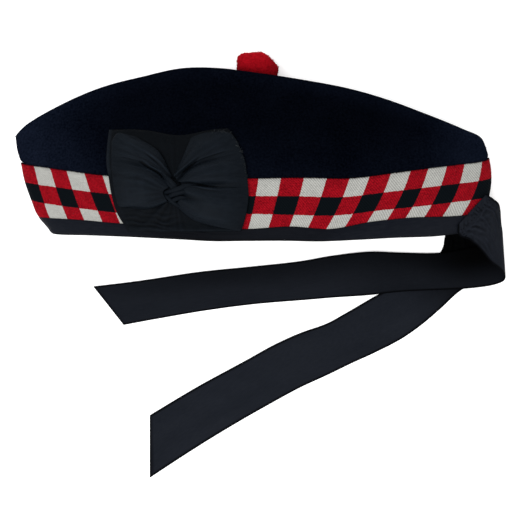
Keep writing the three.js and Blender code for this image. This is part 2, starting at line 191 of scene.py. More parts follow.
dye_inputs = [("Vector", VECTOR), ("Dark", COLOR), ("Light", COLOR)]
dye_inputs += [("Slow", FLOAT), ("Fine", FLOAT), ("Share", FLOAT)]
UNEVEN_DYE, given, gives = new_group("uneven_dye", dye_inputs, [("Color", COLOR), ("Grain", FLOAT)])
slow_noise = speckle(UNEVEN_DYE, given["Vector"], given["Slow"], 3.0)["Fac"]
fine_noise = speckle(UNEVEN_DYE, given["Vector"], given["Fine"], 2.0)["Fac"]
both = add(UNEVEN_DYE, "ShaderNodeMix", {0: given["Share"], 2: slow_noise, 3: fine_noise}).outputs[0]
spread = ranged(UNEVEN_DYE, both, NOISE_LOW, NOISE_HIGH)
UNEVEN_DYE.links.new(blend(UNEVEN_DYE, spread, given["Dark"], given["Light"]), gives["Color"])
UNEVEN_DYE.links.new(fine_noise, gives["Grain"])


def dye(tree, vector, dark, light, slow, fine, share):
    """The uneven dye in a material, and its fine grain."""
    values = {"Dark": (*dark, 1.0), "Light": (*light, 1.0), "Slow": slow, "Fine": fine, "Share": share}
    node = add(tree, "ShaderNodeGroup", {"Vector": vector, **values}, node_tree=UNEVEN_DYE)
    return node.outputs["Color"], node.outputs["Grain"]


print("group:", UNEVEN_DYE.name)

# %% [markdown]
# ## Shared effect: weave ribs
# A woven ribbon shows fine ribs along and across it, and a twill shows them on the slant. Two sine waves
# on the cloth's own flat map, shaken a little by a noise, give their height for the bump.

# %% Shared effect: weave ribs
WARP_SHARE = 0.32
MIDDLE_HEIGHT = 0.5

rib_inputs = [("Vector", VECTOR), ("Along", FLOAT), ("Across", FLOAT)]
rib_inputs += [("Slant", FLOAT), ("Shake", FLOAT), ("Weft", FLOAT)]
WEAVE_RIBS, given, gives = new_group("weave_ribs", rib_inputs, [("Height", FLOAT)])


def rib_maths(operation, first, second=0.0):
    return maths(WEAVE_RIBS, operation, first, second)


def rib_wave(turns):
    return rib_maths("SINE", rib_maths("MULTIPLY", turns, math.tau))


spot = add(WEAVE_RIBS, "ShaderNodeSeparateXYZ", {0: given["Vector"]}).outputs
shaken = speckle(WEAVE_RIBS, given["Vector"], given["Shake"], 2.0)["Fac"]
across = rib_maths("MULTIPLY", spot["Y"], given["Across"])
along = rib_maths("MULTIPLY", spot["X"], given["Along"])
slanted = rib_maths("ADD", along, rib_maths("MULTIPLY", across, given["Slant"]))
warp = rib_maths("MULTIPLY", rib_wave(rib_maths("ADD", slanted, shaken)), WARP_SHARE)
weft = rib_maths("MULTIPLY", rib_wave(across), given["Weft"])
WEAVE_RIBS.links.new(rib_maths("ADD", rib_maths("ADD", warp, weft), MIDDLE_HEIGHT), gives["Height"])


def ribs(tree, vector, along, across, slant, shake, weft):
    """The height of the weave in a material."""
    values = {"Along": along, "Across": across, "Slant": slant, "Shake": shake, "Weft": weft}
    node = add(tree, "ShaderNodeGroup", {"Vector": vector, **values}, node_tree=WEAVE_RIBS)
    return node.outputs["Height"]


print("group:", WEAVE_RIBS.name)

# %% [markdown]
# ## Felt
# The cap's felt is so dark a navy that it is nearly black, and its nap catches a faint blue light. A quite
# matt surface without any specular reflection gives that. An attribute on each point of a cloth says how
# much of the colour shows there. It holds painted light and shade, such as the paler felt at the cap's ends.

# %% Felt
FELT_DYES = ((0.0004, 0.0008, 0.0022), (0.0036, 0.0052, 0.0104), 26.0, 800.0, 0.6)
FELT_NAP = (0.0004, 0.6)                 # depth in metres and strength


def painted_shading_factor(tree, coords=None):
    """The share of its colour that shows on a cloth, from its attribute of painted light and shade."""
    return add(tree, "ShaderNodeAttribute", attribute_name="painted_shading").outputs["Fac"]


def plain_cloth(name, roughness, specular, dyes, grain_bump, shade=None):
    """A cloth dyed on object coordinates. Painted shading may scale its colour, and its grain stands out."""
    material, tree, shader = new_cloth(name, roughness, specular)
    coords = add(tree, "ShaderNodeTexCoord").outputs["Object"]
    colour, grain = dye(tree, coords, *dyes)
    if shade:
        colour = scaled(tree, colour, shade(tree, coords))
    tree.links.new(colour, shader.inputs["Base Color"])
    bump(tree, shader, grain, *grain_bump)
    return material


FELT = plain_cloth("navy_felt", 1.0, 0.0, FELT_DYES, FELT_NAP, painted_shading_factor)
print(FELT.name)

# %% [markdown]
# ## Dicing
# The band is a twill in three rows of checks. Its own map counts one unit for one check, so whole numbers
# of the map choose the colour: red where only one of column and row is odd, black where both are odd, white
# where both are even. A small noise makes the threads at the checks' edges ragged, and a painted shadow line
# runs along the band's sewn top edge.

# %% Dicing
RED_DARK, RED_LIGHT = (0.085, 0.0009, 0.003), (0.305, 0.0044, 0.0105)
WHITE_DARK, WHITE_LIGHT = (0.25, 0.25, 0.235), (0.38, 0.38, 0.355)
BLACK = (0.002, 0.0033, 0.0045, 1.0)
TWILL_NOISE = (2.0, 12.0, 0.7)           # slow and fine to a check, and the fine one's share
RAGGED_SCALE, RAGGED_REACH = 9.0, 0.07
TWILL_RIBS = (8.0, 8.0, 1.0, 0.6, 0.04)  # along and across to a check, slant, shake and weft
TWILL_SHADES = (0.6, 1.2)                # between the threads and on them
TWILL_BUMP = (0.0005, 0.7)
# A painted shadow line along the band's top edge:
SHADOW_LINE_ROWS = (2.95, 3.0)                  # in rows of checks
SHADOW_LINE_SHARE = 0.12

DICING, tree, shader = new_cloth("diced_twill", 0.95, 0.02)
woven = add(tree, "ShaderNodeUVMap", uv_map="weave").outputs["UV"]
ragged = speckle(tree, woven, RAGGED_SCALE, 2.0)["Color"]
centred = vectors(tree, "SUBTRACT", ragged, (0.5, 0.5, 0.5))
threads = vectors(tree, "ADD", woven, scaled(tree, centred, RAGGED_REACH))
spot = add(tree, "ShaderNodeSeparateXYZ", {0: threads}).outputs
odd_column = maths(tree, "FLOORED_MODULO", maths(tree, "FLOOR", spot["X"]), 2.0)
odd_row = maths(tree, "FLOORED_MODULO", maths(tree, "FLOOR", spot["Y"]), 2.0)
is_black = maths(tree, "MULTIPLY", odd_column, odd_row)
not_white = maths(tree, "MAXIMUM", odd_column, odd_row)
red, _ = dye(tree, woven, RED_DARK, RED_LIGHT, *TWILL_NOISE)
white, _ = dye(tree, woven, WHITE_DARK, WHITE_LIGHT, *TWILL_NOISE)
checks = blend(tree, is_black, blend(tree, not_white, white, red), BLACK)
twill = ribs(tree, woven, *TWILL_RIBS)
shade = ranged(tree, twill, 0.0, 1.0, *TWILL_SHADES)
# Painted shadow line at the band's top edge.
painted_shadow_line = ranged(tree, spot["Y"], *SHADOW_LINE_ROWS, 1.0, SHADOW_LINE_SHARE)
shaded = scaled(tree, checks, maths(tree, "MULTIPLY", shade, painted_shadow_line))
tree.links.new(shaded, shader.inputs["Base Color"])
bump(tree, shader, twill, *TWILL_BUMP)
print(DICING.name)

# %% [markdown]
# ## Ribbons
# The binding, the cockade and the tails are black ribbon, each a little different in shine. Their maps count
# millimetres, so the ribs have their real pitch, and the dye runs in streaks along the ribbon. Here too the
# attribute of painted light and shade scales the colour, and it paints folds and insides darker.

# %% Ribbons
STREAKS = (0.0004, 0.0016, 0.0)
STREAK_NOISE = (35.0, 700.0, 0.5)
DULL_SPREAD = 0.1
RIB_SHAPE = (0.0, 0.05, 0.18)            # slant, shake and weft
RIB_BUMP = (0.00015, 0.5)
THREAD_DYES = ((0.0006, 0.0008, 0.0012), (0.003, 0.0035, 0.0048), 120.0, 2500.0, 0.5)
FRAY_DYES = ((0.006, 0.0075, 0.009), (0.026, 0.029, 0.032), 300.0, 2500.0, 0.3)
THREAD_BUMP = (0.0001, 0.5)


def ribbon_cloth(name, dark, light, roughness, specular, along, across):
    """A ribbon with its dye in streaks and its weave in ribs, so many to a millimetre."""
    material, tree, shader = new_cloth(name, roughness, specular)
    woven = add(tree, "ShaderNodeUVMap", uv_map="weave").outputs["UV"]
    colour, grain = dye(tree, vectors(tree, "MULTIPLY", woven, STREAKS), dark, light, *STREAK_NOISE)
    tree.links.new(scaled(tree, colour, painted_shading_factor(tree)), shader.inputs["Base Color"])
    dull = ranged(tree, grain, NOISE_LOW, NOISE_HIGH, roughness - DULL_SPREAD, roughness + DULL_SPREAD)
    tree.links.new(dull, shader.inputs["Roughness"])
    bump(tree, shader, ribs(tree, woven, along, across, *RIB_SHAPE), *RIB_BUMP)
    return material


RIBBON = ribbon_cloth(
    "tail_ribbon", (0.0056, 0.0069, 0.0099), (0.0096, 0.0111, 0.0151), 0.7, 0.012, 1.6, 0.9)
BINDING = ribbon_cloth(
    "binding_ribbon", (0.0027, 0.0036, 0.0062), (0.0073, 0.0084, 0.0118), 0.55, 0.02, 1.6, 0.9)
TAFFETA = ribbon_cloth(
    "taffeta", (0.0026, 0.0038, 0.0056), (0.0046, 0.0063, 0.0088), 0.45, 0.02, 2.2, 2.2)
THREADS = plain_cloth("black_thread", 0.8, 0.02, THREAD_DYES, THREAD_BUMP)
FRAYS = plain_cloth("loose_threads", 0.8, 0.02, FRAY_DYES, THREAD_BUMP)
print(RIBBON.name, BINDING.name, TAFFETA.name, THREADS.name, FRAYS.name)

# %% [markdown]
# ## Wool and floor
# The toorie is a ball of red wool, felted by handling, so it is mottled and quite matt. The floor is plain
# white.

# %% Wool and floor
WOOL_DYES = ((0.13, 0.0012, 0.003), (0.29, 0.0035, 0.0085), 160.0, 900.0, 0.5)
WOOL_BUMP = (0.0006, 0.8)
# Painted shade on the toorie, from its base to its top:
WOOL_PAINTED_SHADE = (0.132, 0.143, 0.66, 1.5)    # metres along Y, and the share of the colour at both
FLOOR_HALF = 2.0
FLOOR_DROP = 0.0003


def wool_painted_shade(tree, coords):
    """Painted shade: the wool is darker at its base by the felt and brighter towards its top."""
    return ranged(tree, add(tree, "ShaderNodeSeparateXYZ", {0: coords}).outputs["Y"], *WOOL_PAINTED_SHADE)


WOOL = plain_cloth("red_wool", 1.0, 0.01, WOOL_DYES, WOOL_BUMP, wool_painted_shade)
sheen = WOOL.node_tree.nodes["Principled BSDF"].inputs
sheen["Sheen Weight"].default_value = 0.01
sheen["Sheen Tint"].default_value = (1.0, 0.1, 0.1, 1.0)

PAPER, tree, shader = new_cloth("white_floor", 1.0, 0.0)
shader.inputs["Base Color"].default_value = (0.9, 0.9, 0.9, 1.0)
shader.inputs["Emission Color"].default_value = (1.0, 1.0, 1.0, 1.0)
shader.inputs["Emission Strength"].default_value = 0.3

bm = bmesh.new()
bmesh.ops.create_grid(bm, x_segments=1, y_segments=1, size=FLOOR_HALF)
floor_mesh = bpy.data.meshes.new("floor")
bm.to_mesh(floor_mesh)
bm.free()
floor_mesh.materials.append(PAPER)
floor = bpy.data.objects.new("floor", floor_mesh)
floor.location.z = -FLOOR_DROP
scene.collection.objects.link(floor)
print("materials:", [material.name for material in bpy.data.materials])

# %% [markdown]
# ## The form of the cap
# Three lines run from the front crease to the back crease: the mouth's edge, the top of the diced band and
# the ridge. Each row below is one section through them. All the cloths lie on the one form that these lines
# make, so it is described once, in millimetres, and each cloth asks it for points.

# %% The form of the cap
# Each row: mouth x and y, band x and y, ridge x and y, column of checks, heights of binding and of a check.
CAP_SECTIONS = [
    [-140.4, 18.5, -161.3, 64.2, -166, 84, -0.55, 12.2, 13.3],
    [-137, 17.5, -151.5, 63, -157, 92.3, -0.06, 11.9, 13.4],
    [-113.5, 16.5, -127.5, 58.6, -133, 105.2, 1.96, 10.9, 13.3],
    [-89, 15.5, -102, 54.5, -107, 115, 4, 9.2, 13],
    [-67, 14.5, -76.5, 52.5, -80.5, 122, 6, 8.2, 12.6],
    [-48.5, 13.7, -51, 52, -54.5, 127.5, 8, 7.6, 12.2],
    [-30, 12.7, -26, 51.5, -28.5, 127.5, 10, 7.4, 12],
    [-9.5, 12.8, -1, 51.5, -2.5, 124.5, 12, 7.3, 12],
    [16, 12.8, 28, 52, 28, 120, 14, 9.3, 12.8],
    [39, 12.2, 57.5, 51.9, 58.5, 114.2, 16, 8.9, 13.3],
    [63.5, 13.2, 85.5, 55.8, 87, 106.5, 18.1, 14, 13.7],
    [88.5, 14.6, 111, 60, 112, 97.6, 20.1, 15.8, 14.2],
    [115, 15.7, 138, 64.4, 136, 88.6, 22.2, 16, 14.2],
    [131, 17.5, 150.8, 66.4, 149, 83, 23.2, 15.2, 14],
    [144, 19, 155.5, 67.7, 153.4, 76.2, 23.68, 15.2, 13.8],
]
LINE_HEIGHTS = [                         # crease, nose, top and squareness of mouth, band and ridge
    [16, 12, 60, 2.6],
    [14, 11, 57, 2.6],
    [12.5, 9, 34, 2.2],
]
CAP_LINES = [[Vector((row[i], row[i + 1], 0.0)) for row in CAP_SECTIONS] for i in (0, 2, 4)]
TRIM_LINE = [Vector(row[6:9]) for row in CAP_SECTIONS]


def mix(low, high, share):
    return low + (high - low) * share


def clamp(value, low=0.0, high=1.0):
    return min(max(value, low), high)


def ease(low, high, value):
    """0 at low, 1 at high, and a smooth step between them."""
    share = clamp((value - low) / (high - low))
    return share * share * (3.0 - 2.0 * share)


def hump(value, middle, width):
    """A smooth hump of height 1 around a middle."""
    return math.exp(-(((value - middle) / width) ** 2))


def curve_point(points, t):
    """Point at share t of a smooth curve through a list of points."""
    last = len(points) - 1
    index = min(int(t * last), last - 1)
    weight = t * last - index
    p1, p2 = points[index], points[index + 1]
    p0 = points[index - 1] if index else 2.0 * p1 - p2
    p3 = points[index + 2] if index + 2 <= last else 2.0 * p2 - p1
    d0, d1, d2 = (max(math.sqrt((b - a).length), 1e-4) for a, b in ((p0, p1), (p1, p2), (p2, p3)))
    slope1 = ((p1 - p0) / d0 - (p2 - p0) / (d0 + d1) + (p2 - p1) / d1) * d1
    slope2 = ((p2 - p1) / d1 - (p3 - p1) / (d1 + d2) + (p3 - p2) / d2) * d1
    bend2 = 3.0 * (p2 - p1) - 2.0 * slope1 - slope2
    bend3 = 2.0 * (p1 - p2) + slope1 + slope2
    return p1 + slope1 * weight + bend2 * weight**2 + bend3 * weight**3


print("cap sections:", len(CAP_SECTIONS))

# %% [markdown]
# ## Sections
# A section is full in the middle of the cap and closes to a rounded crease at its front and back. What each
# section needs is worked out once and kept, because thousands of points will ask for it.

# %% Sections
NOSE_RUN = 0.02
CURL_RUN = 0.13
CURL_POWER = 1.8
CREST = 3.2
CREST_SHARE = 5.0
FRONT_BULGE = 2.0
BULGE_RUN = 0.08


@lru_cache(maxsize=None)
def cap_station(t):
    """What a section across the cap needs, from 0 at the front crease to 1 at the back crease."""
    mouth, band, ridge = (curve_point(line, t) for line in CAP_LINES)
    front, back = CAP_SECTIONS[0][2], CAP_SECTIONS[-1][2]
    along = clamp((band.x - front) / (back - front))
    edge = min(along, 1.0 - along)
    near = min(edge / NOSE_RUN, 1.0)
    roll = math.sqrt(near * (2.0 - near))
    curl = max(0.0, 1.0 - edge / CURL_RUN) ** CURL_POWER
    upper, lower = [], []
    for crease, nose, top, power in LINE_HEIGHTS:
        arch = 1.0 - abs(2.0 * along - 1.0) ** power
        upper.append(crease + nose / 2 * roll + (top - crease - nose / 2) * arch)
        lower.append((crease - nose / 2 * roll) * curl)
    outward = (ridge - band).normalized()
    radius = min(CREST, (upper[2] - lower[2]) / CREST_SHARE)
    shoulder = ridge - outward * radius
    to_band = (band - mouth).length
    trim = curve_point(TRIM_LINE, t)
    return SimpleNamespace(
        mouth=mouth, band=band, shoulder=shoulder, outward=outward, upper=upper, lower=lower, radius=radius,
        fullness=1.0 - (2.0 * along - 1.0) ** 2,
        bulge=FRONT_BULGE * (1.0 - ease(0.0, BULGE_RUN, along)),
        to_band=to_band,
        length=to_band + (ridge - band).length,
        band_share=to_band / (to_band + (shoulder - band).length),
        check=trim.x, binding=trim.y, pitch=trim.z,
    )


print("mouth to ridge at the middle:", round(cap_station(0.5).length, 1), "mm")

# %% [markdown]
# ## Sides
# A parabola through the three lines gives each side of a section: the upper one arches, and the lower one
# lies flat on the table and curls up to the creases. A share of the way round the cap and a height over the
# mouth's edge then name any point of its outside.

# %% Sides
LOWER_MOUTH_SET = 3.0
LOWER_RIDGE_SET = 4.0
BULGE_START = 0.07
FRONT_CORNERS = [                        # place, reach and width
    (0.28, 0.8, 0.14),                   # over the binding
    (1.2, 0.35, 0.16),                   # in the crown
]
NORMAL_STEP = 0.0012                     # shares of the way round
NORMAL_RISE = 0.5                        # millimetres


def side_point(station, share, is_upper):
    """A point of the upper or lower side, at a share of the way from the mouth to the ridge."""
    b = station.band_share
    at_mouth = (share - b) * (share - 1.0) / b
    at_band = share * (share - 1.0) / (b * (b - 1.0))
    at_ridge = share * (share - b) / (1.0 - b)
    point = station.mouth * at_mouth + station.band * at_band + station.shoulder * at_ridge
    rise = share / b
    bulge = math.sin(math.pi * clamp((rise - BULGE_START) / (1.0 - BULGE_START)))
    bulge += sum(reach * hump(rise, middle, width) for middle, reach, width in FRONT_CORNERS)
    point.x -= station.bulge * bulge
    lines = station.upper if is_upper else station.lower
    point.z = lines[0] * at_mouth + lines[1] * at_band + lines[2] * at_ridge
    if not is_upper:
        point.z = max(point.z, 0.0)
        point.y += (LOWER_MOUTH_SET * (1.0 - share) - LOWER_RIDGE_SET * share) * station.fullness
    return point


def around(u):
    """The section at share u of the way round the cap, upper side first, and whether it is on that side."""
    return cap_station(round(2.0 * u if u <= 0.5 else 2.0 - 2.0 * u, 6)), u <= 0.5


def cap_point(u, height):
    """A point on the way round the cap, at a height from the mouth's edge."""
    station, is_upper = around(u)
    return side_point(station, height / station.length, is_upper)


def cap_normal(u, height):
    """The direction out of the cap's side."""
    along = cap_point((u + NORMAL_STEP) % 1.0, height) - cap_point((u - NORMAL_STEP) % 1.0, height)
    upwards = cap_point(u, height + NORMAL_RISE) - cap_point(u, height - NORMAL_RISE)
    return along.cross(upwards).normalized()


print("highest point of the mouth:", round(cap_point(0.25, 0.0).z, 1), "mm")

# %% [markdown]
# ## Grids of cloth
# A cloth starts as a flat grid, and each of its points is moved to its place. Its flat place is kept as a
# map named weave, as if it were still on the loom. A cloth that goes round the cap is merged where its edges
# meet in the creases, and its points lie closer together there.

# %% Grids of cloth
MERGE = 0.02
BUNCHING = 0.75
cap_trees = []                           # the cap's cloths, for the rays that find what ribbon lies on


def flat_map(length, width):
    """The flat places of a cloth of this length and width in millimetres."""
    return lambda u, v, middle: (u * length, v * width)


def cloth_grid(along, across, place, weave_place, painted_shading_at=None, wall_at=None, height_at=None):
    """A bmesh grid whose points go to place(u, v), with its flat places in the map named weave."""
    grid = bmesh.new()
    bmesh.ops.create_grid(grid, x_segments=along, y_segments=across, size=0.5)
    weave = grid.loops.layers.uv.new("weave")
    painted_shading = grid.verts.layers.float.new("painted_shading")
    height = grid.verts.layers.float.new("height")
    weights = grid.verts.layers.deform.verify()
    flat = {vert: (vert.co.x + 0.5, vert.co.y + 0.5) for vert in grid.verts}
    for face in grid.faces:
        face.smooth = True
        middle = sum(flat[vert][0] for vert in face.verts) / len(face.verts)
        for loop in face.loops:
            loop[weave].uv = weave_place(*flat[loop.vert], middle)
    for vert, (u, v) in flat.items():
        vert.co = (place(u, v) + SHIFT) * MM
        vert[weights][0] = wall_at(u, v) if wall_at else 1.0
        vert[painted_shading] = painted_shading_at(u, v) if painted_shading_at else 1.0
        vert[height] = height_at(u, v) if height_at else 0.0
    return grid


def close_ring(grid, lowest, move=None):
    """Merge a cloth's edges in the creases, move its points outwards, and keep it off the table."""
    bmesh.ops.remove_doubles(grid, verts=grid.verts, dist=MERGE * MM)
    grid.normal_update()
    for vert, normal in [(vert, vert.normal.copy()) for vert in grid.verts]:
        if move:
            vert.co += normal * move(vert) * MM
        vert.co.z = max(vert.co.z, lowest * MM)
    cap_trees.append(BVHTree.FromBMesh(grid))


def bunched(share):
    """Shares that lie closer together near 0 and 1, where the creases bend."""
    return mix(share, (1.0 - math.cos(math.pi * share)) / 2, BUNCHING)


def ring_share(u):
    """The same on the way round the cap, which passes both creases."""
    return bunched(2.0 * u) / 2 if u <= 0.5 else 1.0 - bunched(2.0 - 2.0 * u) / 2


print("grids ready")

# %% [markdown]
# ## Pieces of cloth
# A finished grid becomes a piece of the model, and the Solidify modifier gives it its thickness. Both faces
# of the cloth could be modelled instead, but the modifier keeps the thickness even. The bend of the grid
# tells ridges from valleys, and so where to paint highlights on the ridges and shade in the valleys.

# %% Pieces of cloth
# Painted shade and painted highlight, from the bend of the cloth:
FOLD_PAINTED_SHADES = (0.3, 2.2)                 # deep in a valley and on a sharp ridge


def keep_piece(grid, name, material, nodes=(), wall=None, offset=-1.0):
    """Turn a bmesh into a piece of the model, with its wall in millimetres."""
    mesh = bpy.data.meshes.new(name)
    grid.to_mesh(mesh)
    grid.free()
    mesh.materials.append(material)
    piece = bpy.data.objects.new(name, mesh)
    scene.collection.objects.link(piece)
    if wall:
        thick = piece.modifiers.new("wall", "SOLIDIFY")
        thick.thickness = wall * MM
        thick.offset = offset
        thick.vertex_group = piece.vertex_groups.new(name="wall").name
    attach(piece, "root")
    if nodes:
        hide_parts(*nodes)
    print(name, len(mesh.vertices), "points")
    return piece


def paint_fold_shading(grid, gain):
    """Painted highlights on the ridges of a cloth's folds, and painted shade in its valleys."""
    painted_shading = grid.verts.layers.float["painted_shading"]
    grid.normal_update()
    hollow = {}
    for vert in grid.verts:
        near = [edge.other_vert(vert).co for edge in vert.link_edges]
        bend = (sum(near, Vector()) / len(near) - vert.co).dot(vert.normal) / MM
        hollow[vert] = 0.0 if vert.is_boundary else bend
    for vert in grid.verts:
        values = [hollow[edge.other_vert(vert)] for edge in vert.link_edges] + [hollow[vert]]
        vert[painted_shading] *= clamp(1.0 - gain * sum(values) / len(values), *FOLD_PAINTED_SHADES)


print("pieces ready")

# %% [markdown]
# ## The crown's sections
# The cap's top is folded in, so a section of the felt runs from the upper side's mouth over a ridge, down
# into the valley, over the other ridge and to the lower side's mouth. The ridges are half circles, and the
# valley is a half wave between them, which is shallower towards both creases.

# %% The crown's sections
SIDE_STEPS = 48
CREST_STEPS = 8
VALLEY_STEPS = 14
VALLEY_DEPTH = 7.6


@lru_cache(maxsize=None)
def crown_section(t):
    """A section's points from the upper mouth to the lower mouth, each with its height over the band."""
    station = cap_station(t)
    top, bottom, radius = station.upper[2], station.lower[2], station.radius
    shares = [step / SIDE_STEPS for step in range(SIDE_STEPS + 1)]
    upper = [side_point(station, share, True) for share in shares]
    lower = [side_point(station, share, False) for share in shares]
    heights = [share * station.length - station.to_band for share in shares]
    over = []
    for base, middle in ((upper[-1], top - radius), (lower[-1], bottom + radius)):
        for step in range(1, CREST_STEPS + 1):
            turn = math.pi * (0.5 - step / CREST_STEPS)
            crest = base + station.outward * radius * math.cos(turn)
            over.append(Vector((crest.x, crest.y, middle + radius * math.sin(turn))))
        if base is upper[-1]:
            for step in range(1, VALLEY_STEPS + 1):
                turn = math.pi * step / VALLEY_STEPS
                valley = base.lerp(lower[-1], (1.0 - math.cos(turn)) / 2)
                valley -= station.outward * VALLEY_DEPTH * station.fullness * math.sin(turn)
                half = (top - bottom) / 2 - 2.0 * radius
                over.append(Vector((valley.x, valley.y, (top + bottom) / 2 + half * math.cos(turn))))
    return upper + over[:-1] + lower[::-1], heights + [heights[-1]] * (len(over) - 1) + heights[::-1]


SECTION_STEPS = len(crown_section(0.5)[0]) - 1
print("steps along a section:", SECTION_STEPS)

# %% [markdown]
# ## Felt crown
# One grid takes all the sections, and its halves are merged in the creases at both ends. Under the band the
# felt is set in by the band's thickness, and slow dents keep its sides from looking machined. The felt is
# pinched thin in the creases, where the real cap is pressed flat.

# %% Felt crown
CROWN_STEPS = 190
UNDER_BAND, ABOVE_BAND = 1.6, 0.3        # how far the felt is set in
BAND_RISE = 1.8
FELT_WALL = 1.8
FELT_LOWEST = 0.05
DENT, DENT_SCALE = 0.7, 22.0
# Painted light on the felt: in the middle and at the ends, over the band and along the ridges.
FELT_PAINTED_LIGHT = (0.36, 1.1)                # in the middle of the cap and at its ends
BAND_PAINTED_LIGHT, RIDGE_PAINTED_LIGHT = 0.22, 0.24
PINCHED = 0.04                           # the least share of the wall


def crown_at(u, v):
    """A point of the crown, its height over the band, and the height of its section's ridges."""
    points, heights = crown_section(round(bunched(u), 6))
    step = round(v * SECTION_STEPS)
    return points[step], heights[step], max(heights)


def crown_painted_light(u, v):
    """Painted light makes the felt paler at the cap's ends, along the ridges and a little over the band."""
    point, height, ridge = crown_at(u, v)
    ends = mix(*FELT_PAINTED_LIGHT, ease(85.0, 155.0, abs(point.x)))
    over_band = BAND_PAINTED_LIGHT * (1.0 - ease(0.0, 40.0, height))
    return ends + over_band + RIDGE_PAINTED_LIGHT * hump(ridge - height, 0.0, 7.0)


def crown_wall(u, v):
    """The felt is pinched thin at the creases."""
    return max(PINCHED, ease(0.0, 0.02, min(bunched(u), 1.0 - bunched(u))))


def set_in(vert):
    """How far a point of the felt moves out: it is set in, more under the band, and dented above it."""
    over = vert[height_layer] - BAND_RISE
    inset = mix(UNDER_BAND, ABOVE_BAND, ease(-1.0, 2.5, over))
    return -(inset + DENT * noise.noise(vert.co * DENT_SCALE) * ease(2.0, 14.0, over))


crown = cloth_grid(CROWN_STEPS, SECTION_STEPS, lambda u, v: crown_at(u, v)[0], flat_map(320.0, 280.0),
                   crown_painted_light, crown_wall, lambda u, v: crown_at(u, v)[1])
height_layer = crown.verts.layers.float["height"]
close_ring(crown, FELT_LOWEST, set_in)
felt_crown = keep_piece(crown, "felt_crown", FELT, ["crown"], FELT_WALL)

# %% [markdown]
# ## Diced band
# The band is a strip of twill around the cap, three checks tall. It is a ring of the same grid, whose map
# counts checks: the column comes from the cap's sections, and the row from the distance below its top.

# %% Diced band
BAND_STEPS = (360, 14)
BAND_WALL = 1.1
BAND_TUCK = 2.0
BAND_LOWEST = 0.15
ROWS = 3
COLUMN_LEAN = 0.24
LEAN_REACH = 110.0
LEAN_POWER = 0.75
UNEVEN, UNEVEN_SCALE = 0.25, 60.0


def band_height(u, v):
    station, _ = around(ring_share(u))
    return mix(station.binding - BAND_TUCK, station.to_band + BAND_RISE, v)


def band_point(u, v):
    return cap_point(ring_share(u), band_height(u, v))


def band_check(u, v, middle):
    """The place in the dicing, counted on from the front crease along either side."""
    station, _ = around(ring_share(u))
    depth = (station.to_band + BAND_RISE - band_height(u, v)) / station.pitch
    lean = COLUMN_LEAN * clamp(station.band.x / LEAN_REACH, -1.0, 1.0)
    lean *= (max(depth, 0.0) / ROWS) ** LEAN_POWER
    return station.check + lean if middle <= 0.5 else -1.0 - station.check - lean, ROWS - depth


band = cloth_grid(*BAND_STEPS, band_point, band_check)
close_ring(band, BAND_LOWEST, lambda vert: UNEVEN * noise.noise(vert.co * UNEVEN_SCALE))
dicing = keep_piece(band, "dicing", DICING, ["diced_band"], BAND_WALL)

# %% [markdown]
# ## Edge binding
# A ribbon is folded over the mouth's edge. Its section is a profile from the inside's top edge round the rim
# to the outside's top edge, a little plump, and it is carried round the mouth. Short noise creases it, more
# under the cockade, where it is pulled.

# %% Edge binding
BINDING_STEPS = (420, 40)
BINDING_WALL = 0.5
BINDING_LOWEST = 0.02
SOFT_CREASE, PULLED_CREASE = 0.25, 0.45
PULLED_X, PULLED_WIDTH = -58.0, 22.0     # under the cockade
SNUG_FRONT = 0.7
BINDING_PROFILE = [                      # share of the binding's height, millimetres below it, outwards
    [1.0, 0.0, -5.4],
    [0.7, 0.0, -5.6],
    [0.35, 0.0, -5.6],
    [0.1, 0.0, -5.2],
    [0.0, 0.4, -4.4],
    [0.0, 0.8, -3.0],
    [0.0, 0.8, -1.5],
    [0.0, 0.4, -0.2],
    [0.06, 0.0, 0.7],
    [0.2, 0.0, 1.2],
    [0.45, 0.0, 1.35],
    [0.7, 0.0, 1.25],
    [0.88, 0.0, 1.0],
    [0.97, 0.0, 0.7],
    [1.0, 0.0, 0.35],
]
PROFILE_POINTS = [Vector(row) for row in BINDING_PROFILE]


def wobble(x, y, z):
    """A smooth noise around 0 at three numbers."""
    return noise.noise(Vector((x, y, z)))


def binding_point(u, v):
    turn = ring_share(u)
    station, is_upper = around(turn)
    share, below, outwards = curve_point(PROFILE_POINTS, v)
    height = share * station.binding - below
    point = cap_point(turn, height)
    pulled = hump(point.x, PULLED_X, PULLED_WIDTH) if is_upper else 0.0
    crease = SOFT_CREASE * wobble(point.x * 0.05, height * 0.55, 5.0 * is_upper)
    phase = height * 3.0 + point.x * 0.1 + 3.0 * noise.noise(point * 0.08)
    crease += PULLED_CREASE * pulled * math.sin(phase)
    snug = 1.0 - SNUG_FRONT * station.bulge / FRONT_BULGE if outwards > 0.0 else 1.0
    crease *= ease(0.4, 0.7, v) * ease(0.0, 0.15, station.fullness)
    return point + cap_normal(turn, height) * (outwards * snug + crease)


def binding_painted_shade(u, v):
    """Paler at both ends, with painted shade under the cockade and the rim and along the sewn edge."""
    station, _ = around(ring_share(u))
    ends_and_cockade = mix(0.62, 1.0, ease(40.0, 75.0, abs(station.mouth.x + 10.0)))
    ends_and_cockade *= 1.0 - 0.4 * hump(station.mouth.x, -50.0, 35.0)
    return ends_and_cockade * (1.0 - 0.8 * ease(0.96, 1.0, v)) * (1.0 - 0.85 * hump(v, 0.48, 0.08))


binding = cloth_grid(*BINDING_STEPS, binding_point, flat_map(620.0, 30.0), binding_painted_shade)
close_ring(binding, BINDING_LOWEST)
edge_binding = keep_piece(binding, "binding", BINDING, ["edge_binding"], BINDING_WALL)

# %% [markdown]
# ## Toorie
# The toorie is a ball of wool between the ridges. A new, fluffy one could be grown from hair strands, but
# this one is worn to a felted skin, so an icosphere is pressed into its shape, which is flat on top, and is
# roughened by noise.

